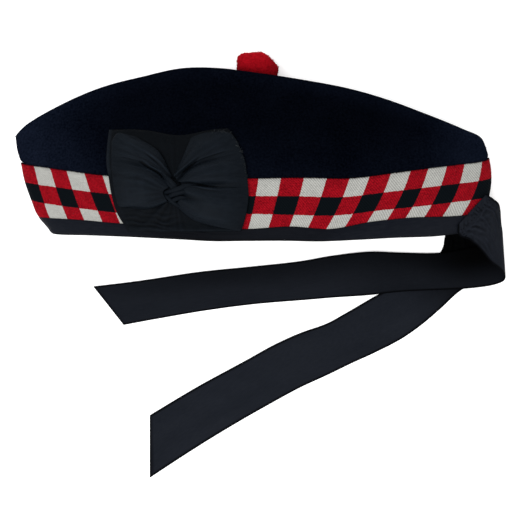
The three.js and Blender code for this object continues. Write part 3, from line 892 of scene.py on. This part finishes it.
# %% Toorie
TOORIE_CENTRE = Vector((-2.2, 125.8, 17.0))
TOORIE_HALF = Vector((13.6, 13.8, 9.6))
TOORIE_CORNERS = [                       # angle, reach and width
    (math.radians(134), 0.24, 0.34),
    (math.radians(78), 0.05, 0.35),
    (math.radians(14), 0.1, 0.25),
]


def toorie_point(direction):
    """The toorie's surface along a direction from its centre: a ball with three corners pressed out."""
    angle = math.atan2(direction.y, direction.x)
    corner = sum(reach * hump(angle, middle, width) for middle, reach, width in TOORIE_CORNERS)
    lump = 1.0 + 0.03 * noise.noise(direction * 4.0) + 0.02 * noise.noise(direction * 11.0)
    reach = lump + corner * math.hypot(direction.x, direction.y)
    return Vector([centre + half * along * reach
                   for centre, half, along in zip(TOORIE_CENTRE, TOORIE_HALF, direction)])


ball = bmesh.new()
bmesh.ops.create_icosphere(ball, subdivisions=6, radius=1.0)
for face in ball.faces:
    face.smooth = True
for vert in ball.verts:
    vert.co = (toorie_point(vert.co.normalized()) + SHIFT) * MM
keep_piece(ball, "toorie_ball", WOOL, ["toorie"])

# %% [markdown]
# ## Wool fibres
# Loose ends of wool break the toorie's outline. Hair particles could make them, but plain cones of three
# sides are mesh and are light. A seeded random generator sets them the same way in every run.

# %% Wool fibres
FIBRES = 2600
FIBRE_RADIUS, FIBRE_TIP = 0.13, 0.03
FIBRE_LENGTHS = (0.7, 1.7)
FIBRE_ROOT = 0.35
FIBRE_LEAN = 0.9
FIBRE_SIDES = 3
dice = random.Random(7)


def any_way():
    return Vector((dice.gauss(0, 1), dice.gauss(0, 1), dice.gauss(0, 1))).normalized()


def add_thread(threads, start, end, radius, tip, sides):
    """A thin cone from start to end, in millimetres of the drawing."""
    along = end - start
    place = Matrix.Translation((start + along / 2 + SHIFT) * MM)
    turn = along.to_track_quat("Z", "Y").to_matrix().to_4x4()
    bmesh.ops.create_cone(threads, segments=sides, radius1=radius * MM, radius2=tip * MM,
                          depth=along.length * MM, matrix=place @ turn, cap_ends=True)


fibres = bmesh.new()
for _ in range(FIBRES):
    direction = any_way()
    out = (direction + FIBRE_LEAN * any_way()).normalized()
    root = toorie_point(direction) - out * FIBRE_ROOT
    add_thread(fibres, root, root + out * dice.uniform(*FIBRE_LENGTHS), FIBRE_RADIUS, FIBRE_TIP, FIBRE_SIDES)
keep_piece(fibres, "toorie_fibres", WOOL)

# %% [markdown]
# ## What the ribbons lie on
# Ribbon lies on the cloth below it, so its height is found by a ray that is cast straight down on the felt,
# the band and the binding, or straight up from under them. The Shrinkwrap modifier could press a whole
# ribbon onto the cap, but single rays leave its loop free.

# %% What the ribbons lie on
TWIST = Vector((-54.5, 42.5, 0.0))       # the middle of the cockade's bow
RAY_TOP = 0.2
DOWN, UP = Vector((0.0, 0.0, -1.0)), Vector((0.0, 0.0, 1.0))


def ray_heights(trees, x, y, way):
    """Heights in millimetres at which a ray from above or below first meets each cloth that it meets."""
    start = Vector(((x + SHIFT.x) * MM, (y + SHIFT.y) * MM, -way.z * RAY_TOP))
    hits = [tree.ray_cast(start, way)[0] for tree in trees]
    return [hit.z / MM for hit in hits if hit]


def cap_top(x, y):
    """Height of the highest cloth of the cap over a place, or None beside the cap."""
    return max(ray_heights(cap_trees, x, y, DOWN), default=None)


def cap_bottom(x, y):
    """Height of the lowest cloth of the cap over a place, or None beside the cap."""
    return min(ray_heights(cap_trees, x, y, UP), default=None)


print("cap at the twist:", round(cap_top(TWIST.x, TWIST.y), 1), "mm high")

# %% [markdown]
# ## The cockade's bed
# The cap steps at the edges of its band and binding, and cloth that lies over it bridges those steps. A grid
# that takes the cap's heights and is then smoothed gives the even bed that the cockade lies on. It is only
# asked for heights, and doesn't become a piece.

# %% The cockade's bed
BED_LEFT, BED_RIGHT = -106.0, -2.0
BED_LOW, BED_HIGH = 17.5, 92.0
BED_RIM = 0.1
BED_STEPS = (70, 50)
BED_SMOOTHINGS = 6


def bed_point(u, v):
    x, y = mix(BED_LEFT, BED_RIGHT, u), mix(BED_LOW, BED_HIGH, v)
    return Vector((x, y, cap_top(x, y)))


bed = cloth_grid(*BED_STEPS, bed_point, flat_map(1.0, 1.0))
for _ in range(BED_SMOOTHINGS):
    bmesh.ops.smooth_vert(bed, verts=bed.verts, factor=0.5, use_axis_z=True)
bed_tree = BVHTree.FromBMesh(bed)
bed.free()


def bed_top(x, y):
    """Height of the bed over a place, in millimetres."""
    x = clamp(x, BED_LEFT + BED_RIM, BED_RIGHT - BED_RIM)
    y = clamp(y, BED_LOW + BED_RIM, BED_HIGH - BED_RIM)
    return ray_heights([bed_tree], x, y, DOWN)[0]


print("bed at the twist:", round(bed_top(TWIST.x, TWIST.y), 1), "mm high")

# %% [markdown]
# ## Cockade panel
# A doubled piece of taffeta backs the bow. Its outline follows rows from the mouth upwards, its top edge dips
# in the middle, and it drapes over the band's edge. Fine puckers run towards the twist.

# %% Cockade panel
PANEL_ROWS = [                           # y, left x, right x
    [18, -84.5, -14],
    [31, -92.4, -11.5],
    [42, -95.8, -10],
    [52, -97.6, -10],
    [62, -99.5, -11.5],
    [72, -99.5, -13.5],
    [80, -99, -17],
    [85, -98.5, -20.5],
]
PANEL_POINTS = [Vector(row) for row in PANEL_ROWS]
PANEL_LIFT = 1.2
PANEL_WALL = 0.6
# Painted shade on the panel:
PANEL_PAINTED_SHADES = (0.62, 0.38)              # at the mouth and at the top
PANEL_DIP = 4.5
PUCKER, GATHER = 0.35, 0.7
EDGE_LIFT = 0.7
# A painted highlight along the panel's left edge:
EDGE_PAINTED_HIGHLIGHT = 1.9
PANEL_STEPS = (110, 120)
PANEL_CONTRAST = 7.0


def panel_point(u, v):
    y, left, right = curve_point(PANEL_POINTS, v)
    x = mix(left, right, u)
    y -= PANEL_DIP * ease(0.55, 1.0, v) * hump(x, -52.0, 17.0)
    rim = ease(0.0, 0.05, min(u, 1.0 - u, v * 3.0 + 0.02, (1.0 - v) * 1.3))
    angle = math.atan2(y - TWIST.y, x - TWIST.x)
    pucker = PUCKER * wobble(angle * 9.0, 0.5, 3.0)
    gathered = hump(x, -69.0, 14.0) * hump(y, 23.5, 6.5)
    wander = wobble(x * 0.09, y * 0.12, 7.0)
    strength = 0.55 + 0.9 * wobble(x * 0.05, y * 0.2, 11.0)
    pucker += GATHER * gathered * strength * math.sin(y * 1.9 + x * 0.14 + 6.0 * wander)
    return Vector((x, y, bed_top(x, y) + mix(EDGE_LIFT, PANEL_LIFT + pucker, rim)))


def panel_painted_shading(u, v):
    """Painted shade, darker towards the top, and a painted highlight on the left edge above the band."""
    return mix(*PANEL_PAINTED_SHADES, v) * (1.0 + EDGE_PAINTED_HIGHLIGHT * hump(u, 0.01, 0.013) * ease(0.42, 0.55, v))


panel = cloth_grid(*PANEL_STEPS, panel_point, flat_map(88.0, 66.0), panel_painted_shading)
# Painted highlights on the puckers' ridges and painted shade in their hollows.
paint_fold_shading(panel, PANEL_CONTRAST)
cockade_panel = keep_piece(panel, "cockade_backing", TAFFETA, ["cockade_panel"], PANEL_WALL)

# %% [markdown]
# ## The bow's folds
# The bow is one broad ribbon, twisted in the middle. Each row below follows one fold from the twist to the
# outer edge, with its height above the panel. Such rows are easy to set beside a photograph, one fold after
# the other.

# %% The bow's folds
LEFT_FOLDS = [                           # x, y and height at the twist, halfway and at the outer edge
    [-56, 53, 1.2, -65, 69.5, 1.5, -80.5, 80, 0.8],
    [-56.5, 52.5, 2.4, -66.5, 69, 3, -84.5, 81, 1],
    [-56.5, 51.5, 3.4, -68.5, 67, 4.8, -92.5, 82.5, 1],
    [-56.5, 50, 3.8, -69, 64, 5.2, -96, 77.5, 1.2],
    [-56, 49, 3.9, -67.5, 61, 4.6, -96.2, 73, 1.2],
    [-56, 48, 3.4, -66.5, 59, 3.6, -96.2, 69, 1.3],
    [-55.5, 49, 2, -64, 61, 1.6, -96.2, 67, 1.3],
    [-56.5, 47.5, 1.2, -66, 58, 1.2, -96, 65, 1.3],
    [-57.5, 46.5, 3, -69, 56.5, 3.6, -96, 62, 1.3],
    [-59, 45.5, 3.8, -72, 53, 6.2, -95.5, 57, 1.3],
    [-61, 44, 3.6, -73.5, 47.5, 7.2, -94.5, 49, 1.3],
    [-61.5, 42.5, 3.2, -73.5, 42, 6.8, -93, 41, 1.3],
    [-60.5, 40, 2.8, -72, 36.5, 5.2, -90.5, 34.5, 1.2],
    [-59, 37.5, 2.4, -69.5, 33.8, 3.4, -85, 33.8, 1.4],
    [-58.5, 37, 0.8, -69, 32.8, 1, -81, 32.8, 0.7],
]
RIGHT_FOLDS = [
    [-55, 54, 1.2, -50, 64.5, 1.5, -44.5, 78.5, 0.8],
    [-54.5, 53, 2.4, -48.5, 64.5, 3.2, -39, 81, 1],
    [-54, 52.5, 3.2, -46, 65, 4.8, -29.5, 82.5, 1.1],
    [-54, 52.5, 3.6, -44.5, 64, 5, -20, 82, 1.2],
    [-53.5, 52, 3.6, -43.5, 62.5, 4.6, -15.5, 77.5, 1.2],
    [-53, 51.5, 3.2, -43.5, 61, 3.6, -13.5, 73, 1.3],
    [-53.5, 52.5, 1.8, -44.5, 62, 1.8, -12.5, 71, 1.3],
    [-53, 50.5, 1.2, -42.5, 60, 1.6, -12, 69, 1.3],
    [-52, 50, 3, -40, 59, 4.2, -10.5, 66, 1.3],
    [-50.5, 49.5, 3.8, -36, 57, 6, -9.3, 61.5, 1.3],
    [-50, 49, 3.6, -35, 53, 6.2, -8.6, 56.5, 1.3],
    [-50, 48, 2.6, -35, 49.5, 4.6, -8, 52, 1.3],
    [-50, 47.5, 1.2, -35, 47.5, 1.8, -7.7, 48.5, 1.3],
    [-49, 46.5, 1.4, -35, 45.5, 1.8, -7.5, 46.5, 1.3],
    [-49.5, 47, 3.2, -35, 46.5, 3.8, -7.4, 45, 1.3],
    [-49, 46, 4, -35, 44.5, 5.2, -7.2, 42, 1.3],
    [-49, 43.5, 3.8, -34.5, 41, 6.2, -7.4, 38.5, 1.3],
    [-50, 40.5, 1, -34.5, 36.5, 6.5, -8, 33, 1.3],
    [-50.5, 38.5, 3.2, -36, 32.5, 6, -9, 28, 1.3],
    [-52, 37, 2.8, -39, 28, 4.6, -10.3, 23, 1.2],
    [-53, 35.5, 1.8, -42, 26.5, 2.6, -11.5, 19.5, 1],
    [-53.5, 34.5, 0.8, -42.5, 25.5, 1, -13, 18, 0.7],
]
print("folds:", len(LEFT_FOLDS), "left and", len(RIGHT_FOLDS), "right")

# %% [markdown]
# ## The bow's creases
# Where two pleats press on each other the cloth is bent sharply, into a narrow groove with a rolled lip
# beside it. The rows of folds are too far apart for that, so each crease has a line of its own, which sinks
# the cloth along it and lifts its lip.

# %% The bow's creases
LEFT_CREASES = [                         # side of the lip, depth, then x and y of points along the crease
    [-1, 1.1, (-57, 48.6), (-65.2, 55.6), (-71.6, 59.4), (-79, 64.5)],
    [-1, 0.7, (-58.5, 54.5), (-65.2, 61.6), (-70, 65.6), (-77, 71)],
]
RIGHT_CREASES = [
    [1, 1.1, (-54.5, 52.2), (-49.8, 55.6), (-44, 60), (-37, 66.5)],
    [-1, 1.1, (-50, 48.6), (-44.7, 49), (-33.2, 46.9), (-20, 45.4)],
]
CREASE_STEPS = 40
CREASE_WIDTH = 0.7
LIP_SHARE, LIP_AWAY = 0.8, 1.7


def flat_line(*points):
    return [Vector((x, y, 0.0)) for x, y in points]


def crease_line(side, depth, *points):
    """Places along a crease, each with the direction to its lip and the depth that is left there."""
    line = flat_line(*points)
    places = [curve_point(line, step / CREASE_STEPS) for step in range(CREASE_STEPS + 1)]
    samples = []
    for step in range(1, CREASE_STEPS):
        along = places[step + 1] - places[step - 1]
        to_lip = Vector((-along.y, along.x, 0.0)).normalized() * side
        samples.append((places[step], to_lip, depth * (1.0 - ease(0.5, 1.0, step / CREASE_STEPS))))
    return samples


def creased(lines, x, y):
    """How far the creases sink the cloth at a place, and their rolled lips lift it."""
    place, rise = Vector((x, y, 0.0)), 0.0
    for samples in lines:
        point, to_lip, depth = min(samples, key=lambda sample: (sample[0] - place).length_squared)
        away = (place - point).dot(to_lip)
        rise += depth * (LIP_SHARE * hump(away, LIP_AWAY, CREASE_WIDTH) - hump(away, 0.0, CREASE_WIDTH))
    return rise


print("creases:", len(LEFT_CREASES) + len(RIGHT_CREASES))

# %% [markdown]
# ## The bow's halves
# A smooth surface through the rows of folds makes pleats that run together at the twist. A cloth simulation
# would gather the ribbon too, but into folds of its own instead of these.

# %% The bow's halves
LOBE_STEPS, FOLD_STEPS = 64, 9
LOBE_CONTRAST = 24.0
FOLD_WALL = 0.4
FOLD_LIFT = 0.6
FOLD_LEAST = 0.2
RIPPLE = 0.3
TUCK = 0.9


def over_panel(x, y, rise):
    """A point at a height above the cockade's panel."""
    return Vector((x, y, bed_top(x, y) + PANEL_LIFT + rise))


def lobe_piece(name, folds, creases, node, is_right):
    """One half of the bow, as a smooth cloth over its folds."""
    lines = [[Vector(row[0:3]), Vector(row[3:6]), Vector(row[6:9])] for row in folds]
    crease_samples = [crease_line(*crease) for crease in creases]

    @lru_cache(maxsize=None)
    def fold_row(u):
        return [curve_point(line, u) for line in lines]

    def lobe_point(u, v):
        x, y, height = curve_point(fold_row(round(u, 5)), v)
        ripple = RIPPLE * wobble(v * 26.0, u * 1.5, 4.0) * math.sin(math.pi * u)
        tucked = TUCK * ease(0.75, 1.0, u)
        rise = max(height + ripple + creased(crease_samples, x, y), FOLD_LEAST) - tucked
        return over_panel(x, y, FOLD_LIFT + rise)

    lobe = cloth_grid(LOBE_STEPS, FOLD_STEPS * (len(folds) - 1), lobe_point, flat_map(42.0, 60.0))
    if is_right:
        bmesh.ops.reverse_faces(lobe, faces=lobe.faces)
    # Painted highlights on the pleats' ridges and painted shade in their valleys.
    paint_fold_shading(lobe, LOBE_CONTRAST)
    return keep_piece(lobe, name, TAFFETA, [node], FOLD_WALL)


left_lobe = lobe_piece("bow_left", LEFT_FOLDS, LEFT_CREASES, "cockade_left_loop", False)
right_lobe = lobe_piece("bow_right", RIGHT_FOLDS, RIGHT_CREASES, "cockade_right_loop", True)

# %% [markdown]
# ## The bow's twist
# At the twist the pleats of one half cross over those of the other. Each strand is a narrow strip of grid,
# arched over its own line, and the strands from the right lie on top. A small mound of bunched cloth fills
# the space below them.

# %% The bow's twist
STRANDS = [                              # width, then x, y and height at points along the strand
    [3.2, [-64.5, 57.5, 1.2], [-59, 52, 4.3], [-54.5, 47.5, 4.6], [-52, 44, 2]],
    [2.8, [-62.5, 53, 1], [-58, 48.5, 4.1], [-55, 45.5, 4.2], [-53, 42.5, 1.8]],
    [3.4, [-39.5, 47.5, 1], [-46, 47, 4.6], [-53, 44.5, 5.6], [-62.5, 42.5, 1.2]],
    [3.2, [-41.5, 43.5, 1], [-48.5, 43, 4.7], [-54.5, 41.5, 5.2], [-60, 39, 1]],
    [2.8, [-44, 39, 1], [-50, 39.5, 4.3], [-54.5, 38, 4.6], [-58, 36.5, 0.8]],
    [2.6, [-62, 42.5, 1.2], [-58, 39, 3.4], [-53.5, 35.5, 3.4], [-49, 32.5, 0.6]],
]
STRAND_STEPS = (28, 12)
STRAND_WALL = 0.35
STRAND_ENDS = 0.6                        # width at the ends as a share
STRAND_ROUND = 0.9
CORE_STEPS = (40, 40)
CORE_HALF = Vector((7.5, 7.5, 3.8))
CORE_UP = 2.5
CORE_WRINKLE, CORE_WRINKLES = 0.4, 9.0


def strand_piece(name, width, points):
    """A narrow strip of cloth, arched over a line of points."""
    line = [Vector(point) for point in points]

    def strand_point(u, v):
        x, y, height = curve_point(line, u)
        before, after = curve_point(line, max(u - 0.01, 0.0)), curve_point(line, min(u + 0.01, 1.0))
        side = Vector((before.y - after.y, after.x - before.x, 0.0)).normalized()
        turn = math.pi * v
        narrow = width / 2 * mix(STRAND_ENDS, 1.0, math.sin(math.pi * u))
        rise = height + narrow * STRAND_ROUND * (math.sin(turn) - 1.0)
        return over_panel(x, y, FOLD_LIFT + rise) - side * narrow * math.cos(turn)

    strand = cloth_grid(*STRAND_STEPS, strand_point, flat_map(22.0, 4.0))
    bmesh.ops.recalc_face_normals(strand, faces=strand.faces)
    if sum(face.normal.z for face in strand.faces) < 0:
        bmesh.ops.reverse_faces(strand, faces=strand.faces)
    return keep_piece(strand, name, TAFFETA, (), STRAND_WALL)


def core_point(u, v):
    """A point of the bunched cloth below the strands: a low mound, wrinkled towards its middle."""
    away = Vector((2.0 * u - 1.0, 2.0 * v - 1.0, 0.0))
    x, y = TWIST.x + CORE_HALF.x * away.x, TWIST.y + CORE_UP + CORE_HALF.y * away.y
    rise = (1.0 - away.x**2) * (1.0 - away.y**2)
    wrinkle = CORE_WRINKLE * rise * math.sin(CORE_WRINKLES * math.atan2(away.y, away.x))
    return over_panel(x, y, CORE_HALF.z * rise + wrinkle)


strands = [strand_piece(f"bow_strand_{index}", row[0], row[1:]) for index, row in enumerate(STRANDS)]
# The bunched cloth takes the panel's painted shade at its top.
core = cloth_grid(*CORE_STEPS, core_point, flat_map(17.0, 20.0), lambda u, v: PANEL_PAINTED_SHADES[1])
strands.append(keep_piece(core, "bow_core", TAFFETA, (), STRAND_WALL))

# %% [markdown]
# ## Rows of the ribbons
# Two ribbons are sewn to the back of the cap and lie on the table. Rows of left and right edge points follow
# each one from its seam to its cut end. The near one curls round under itself, and the far one comes out
# from under the cap.

# %% Rows of the ribbons
NEAR_RIBBON = [                          # left edge x, y, z and right edge x, y, z
    [151, 44, 26, 131, 23, 27],
    [156, 41, 23, 132.5, 16.5, 27],
    [160.2, 38, 20, 139.5, 13.5, 25.5],
    [162.8, 33, 13.5, 148, 7, 22],
    [164, 25, 10.5, 155, -1, 19.5],
    [165.2, 20.5, 8, 163.5, -7, 15],
    [165.8, 17, 6, 167, -11, 10],
    [164.5, 14.5, 4, 166.5, -14.5, 5.5],
    [157, 11, 3, 161, -17, 3],
    [144.5, 8.5, 2.2, 144.5, -19.5, 2.2],
    [124, 5.1, 2, 124, -20.5, 2],
    [96.5, 5.2, 2, 97.5, -21.8, 2],
    [75.5, 5.8, 1.9, 73, -24.4, 1.9],
    [49.5, 3, 0.6, 52.5, -25.8, 0.6],
    [27.5, -0.8, 0.5, 31, -27.6, 0.5],
    [-7, -4.6, 0.5, -3, -30.4, 0.5],
    [-41.5, -8.1, 0.5, -37, -34.8, 0.5],
    [-82.5, -14.2, 0.5, -70.5, -40.5, 0.5],
    [-115, -18.2, 0.5, -94, -44.8, 0.5],
]
FAR_RIBBON = [
    [129.5, 30, 9, 154, 37, 11.5],
    [127.7, 22, 5, 155.5, 28, 9],
    [127.2, 15, 1, 157.5, 16.5, 2.2],
    [126.3, 9.5, 0.5, 158, 4, 0.6],
    [124, 5, 0.5, 154, -7, 0.5],
    [117, 0, 0.5, 145.5, -16.2, 0.5],
    [109, -5.5, 0.5, 136, -22.8, 0.5],
    [100, -11.5, 0.5, 124.4, -33.6, 0.5],
    [88.5, -19.8, 0.5, 111, -45, 0.5],
    [76, -26.8, 0.5, 96.5, -55, 0.5],
    [58.5, -37, 0.5, 78.5, -64.2, 0.5],
    [46, -43.8, 0.5, 64, -70.8, 0.5],
    [27.5, -50.4, 0.5, 46, -79.5, 0.5],
    [10, -58.3, 0.5, 28, -87.8, 0.5],
    [-10.5, -69.6, 0.5, 8.5, -98.3, 0.5],
    [-41.5, -86.4, 0.5, -23, -116.4, 0.5],
    [-60.5, -97.6, 0.5, -48.5, -132.2, 0.5],
    [-76, -107, 0.5, -76, -150.2, 0.5],
]
print("rows:", len(NEAR_RIBBON), "near and", len(FAR_RIBBON), "far")

# %% [markdown]
# ## Ribbon tails
# The grid between the rows is finer than they are, so that gathers can run out from the seam. Where a ribbon
# would pass through the cap, the rays tell how far it has to be lifted onto it, or pressed down under it.

# %% Ribbon tails
RIBBON_STEPS = (240, 48)
RIBBON_CONTRAST = 5.0
RIBBON_WALL = 0.5
RIBBON_CLEAR = 0.9
SEAM_CREASE = 1.6
GATHER_WAVE, GATHER_LUMPS = 0.55, 0.9
SLOW_WAVE = 0.25
SELVEDGE_DARK = 0.85
OVER_CAP, UNDER_CAP = 0.45, 0.3          # shares of the ribbons that may lie on the cap or under it


def near_painted_shade(u, v):
    """Painted shade: nearly black inside the near ribbon's loop, and dark along its edge beside the cap."""
    inside = mix(0.03, 0.5, ease(0.25, 1.0, v))
    beside_cap = mix(mix(0.3, 0.42, ease(0.6, 0.75, u)), 0.75, ease(0.86, 1.0, u))
    tail = mix(beside_cap, mix(0.62, 0.85, ease(0.6, 0.75, u)), ease(0.0, 0.8, v))
    return mix(mix(1.0, inside, ease(0.31, 0.36, u)), tail, ease(0.5, mix(0.65, 0.57, v), u))


def far_painted_shade(u, v):
    """Painted shade: the far ribbon is nearly black where it comes from under the cap."""
    return mix(0.04, 1.0, ease(0.25, 0.5, u))


def ribbon_piece(name, rows, node, width, length, is_over, painted_shade_at):
    """A ribbon between two rows of edge points, gathered at its seam, over the cap or under it."""
    left = [Vector(row[0:3]) for row in rows]
    right = [Vector(row[3:6]) for row in rows]

    def ribbon_point(u, v):
        point = curve_point(left, u).lerp(curve_point(right, u), v)
        strength = (1.0 - ease(0.06, 0.34, u)) * mix(0.3, 1.0, ease(0.0, 0.03, u))
        wander = 3.0 * wobble(u * 9.0, v * 6.0, 1.0)
        uneven = 0.5 + wobble(u * 16.0, v * 5.0, 8.0)
        lumps = wobble(u * 34.0, v * 8.0, 3.0)
        lumps += 0.4 * wobble(u * 50.0, v * 17.0, 6.0)
        gather = GATHER_WAVE * uneven * math.sin(v * 40.0 + 2.0 * wander) + GATHER_LUMPS * lumps
        gather = strength * gather - SEAM_CREASE * hump(u, 0.066, 0.009) * hump(v, 0.52, 0.28)
        point.z += gather + SLOW_WAVE * wobble(point.x * 0.05, point.y * 0.09, 2.0)
        top, bottom = cap_top(point.x, point.y), cap_bottom(point.x, point.y)
        if is_over and u < OVER_CAP and top is not None:
            point.z = max(point.z, top + RIBBON_CLEAR + max(gather, 0.0))
        if not is_over and u < UNDER_CAP and bottom is not None:
            point.z = min(point.z, bottom - RIBBON_CLEAR)
        point.z = max(point.z, RIBBON_WALL / 2)
        return point

    def ribbon_shading(u, v):
        """The painted shade, with the woven edges and the cut end darker than the rest."""
        from_edge = min(v, 1.0 - v, (1.0 - u) * length / width)
        return painted_shade_at(u, v) * (1.0 - SELVEDGE_DARK * (1.0 - ease(0.025, 0.055, from_edge)))

    grid = cloth_grid(*RIBBON_STEPS, ribbon_point, flat_map(length, width), ribbon_shading)
    # Painted highlights on the gathers' ridges and painted shade in their valleys.
    paint_fold_shading(grid, RIBBON_CONTRAST)
    return keep_piece(grid, name, RIBBON, [node], RIBBON_WALL, 0.0)


near_tail = ribbon_piece("tail_near", NEAR_RIBBON, "ribbon_near", 28.0, 330.0, True, near_painted_shade)
far_tail = ribbon_piece("tail_far", FAR_RIBBON, "ribbon_far", 34.0, 330.0, False, far_painted_shade)

# %% [markdown]
# ## Stitches and frays
# Whip stitches hold the near ribbon to the cap: short threads that cross its cut end. The cockade's raw edge
# has lost a few threads too. A thread is a thin cone, set on the cloth below it.

# %% Stitches and frays
THREAD, THREAD_TIP = 0.26, 0.182
THREAD_SIDES = 6
STITCH_DROP = 1.2
SEAM_STITCHES, SEAM_REACH = [0.04 + 0.083 * step for step in range(12)], 0.9
END_STITCHES, END_REACH = [0.1 + 0.2 * step for step in range(5)], 0.6
SEAM_LINES = [                           # inside the cut end, and along it
    flat_line((154, 40.5), (145.5, 30.5), (134.5, 19.5)),
    flat_line((151, 43), (141.5, 33.5), (131.2, 23.2)),
]
END_LINES = [                            # the same round the corner
    flat_line((134.2, 21), (135, 18.5), (138.5, 16)),
    flat_line((131.4, 21), (132.6, 16.8), (136.6, 14.8)),
]
FRAYED_EDGE = [Vector(row[6:9]) for row in RIGHT_FOLDS[2:12]]
FRAY_COUNT = 44
FRAY, FRAY_TIP = 0.14, 0.098
FRAY_LIFT = 1.4

bpy.context.view_layer.update()
near_tree = BVHTree.FromObject(near_tail, bpy.context.evaluated_depsgraph_get())


def on_ribbon(x, y):
    """A point just above the near ribbon, or above the cap beside it, or on the table beside both."""
    heights = ray_heights([near_tree, *cap_trees], x, y, DOWN)
    return Vector((x, y, max(heights, default=0.0) + THREAD / 2))


def whip_stitches(threads, inner, outer, shares, reach):
    """Threads that cross an edge, from a line inside it to a little beyond it."""
    for share in shares:
        inside, edge = curve_point(inner, share), curve_point(outer, share)
        beyond = edge + (edge - inside).normalized() * reach
        start, end = on_ribbon(inside.x, inside.y), on_ribbon(beyond.x, beyond.y)
        end.z = max(end.z, start.z - STITCH_DROP)
        add_thread(threads, start, end, THREAD, THREAD_TIP, THREAD_SIDES)


stitches = bmesh.new()
whip_stitches(stitches, *SEAM_LINES, SEAM_STITCHES, SEAM_REACH)
whip_stitches(stitches, *END_LINES, END_STITCHES, END_REACH)
seam_threads = keep_piece(stitches, "seam_stitches", THREADS)

frays = bmesh.new()
for _ in range(FRAY_COUNT):
    edge = curve_point(FRAYED_EDGE, dice.uniform(0.0, 1.0))
    start = over_panel(edge.x, edge.y, FRAY_LIFT)
    start.x -= dice.uniform(0.2, 2.0)
    loose = Vector((dice.uniform(0.3, 1.6), dice.uniform(-1.4, 1.4), dice.uniform(-0.2, 0.4)))
    add_thread(frays, start, start + loose, FRAY, FRAY_TIP, THREAD_SIDES)
loose_threads = keep_piece(frays, "cockade_frays", FRAYS)

# %% [markdown]
# ## Cut sizes
# The size that every cloth was cut to is printed: the band and the ribbons by their width and
# length, the cockade's cloths before they were pleated. The area of each finished grid is printed beside it.

# %% Cut sizes


def cut_cloth(piece, width, length):
    """Print a cloth's cut width and length in millimetres as an area, and how much of it shows."""
    shows = sum(face.area for face in piece.data.polygons) / MM**2
    print(piece.name, "cut", round(width * length), "mm2, shows", round(shows), "mm2")


cut_cloth(dicing, 34.0, 640.0)
cut_cloth(edge_binding, 25.0, 580.0)
cut_cloth(cockade_panel, 86.0, 68.0)
cut_cloth(left_lobe, 62.0, 42.0)
cut_cloth(right_lobe, 78.0, 46.0)
cut_cloth(near_tail, 28.0, 325.0)
cut_cloth(far_tail, 32.0, 300.0)
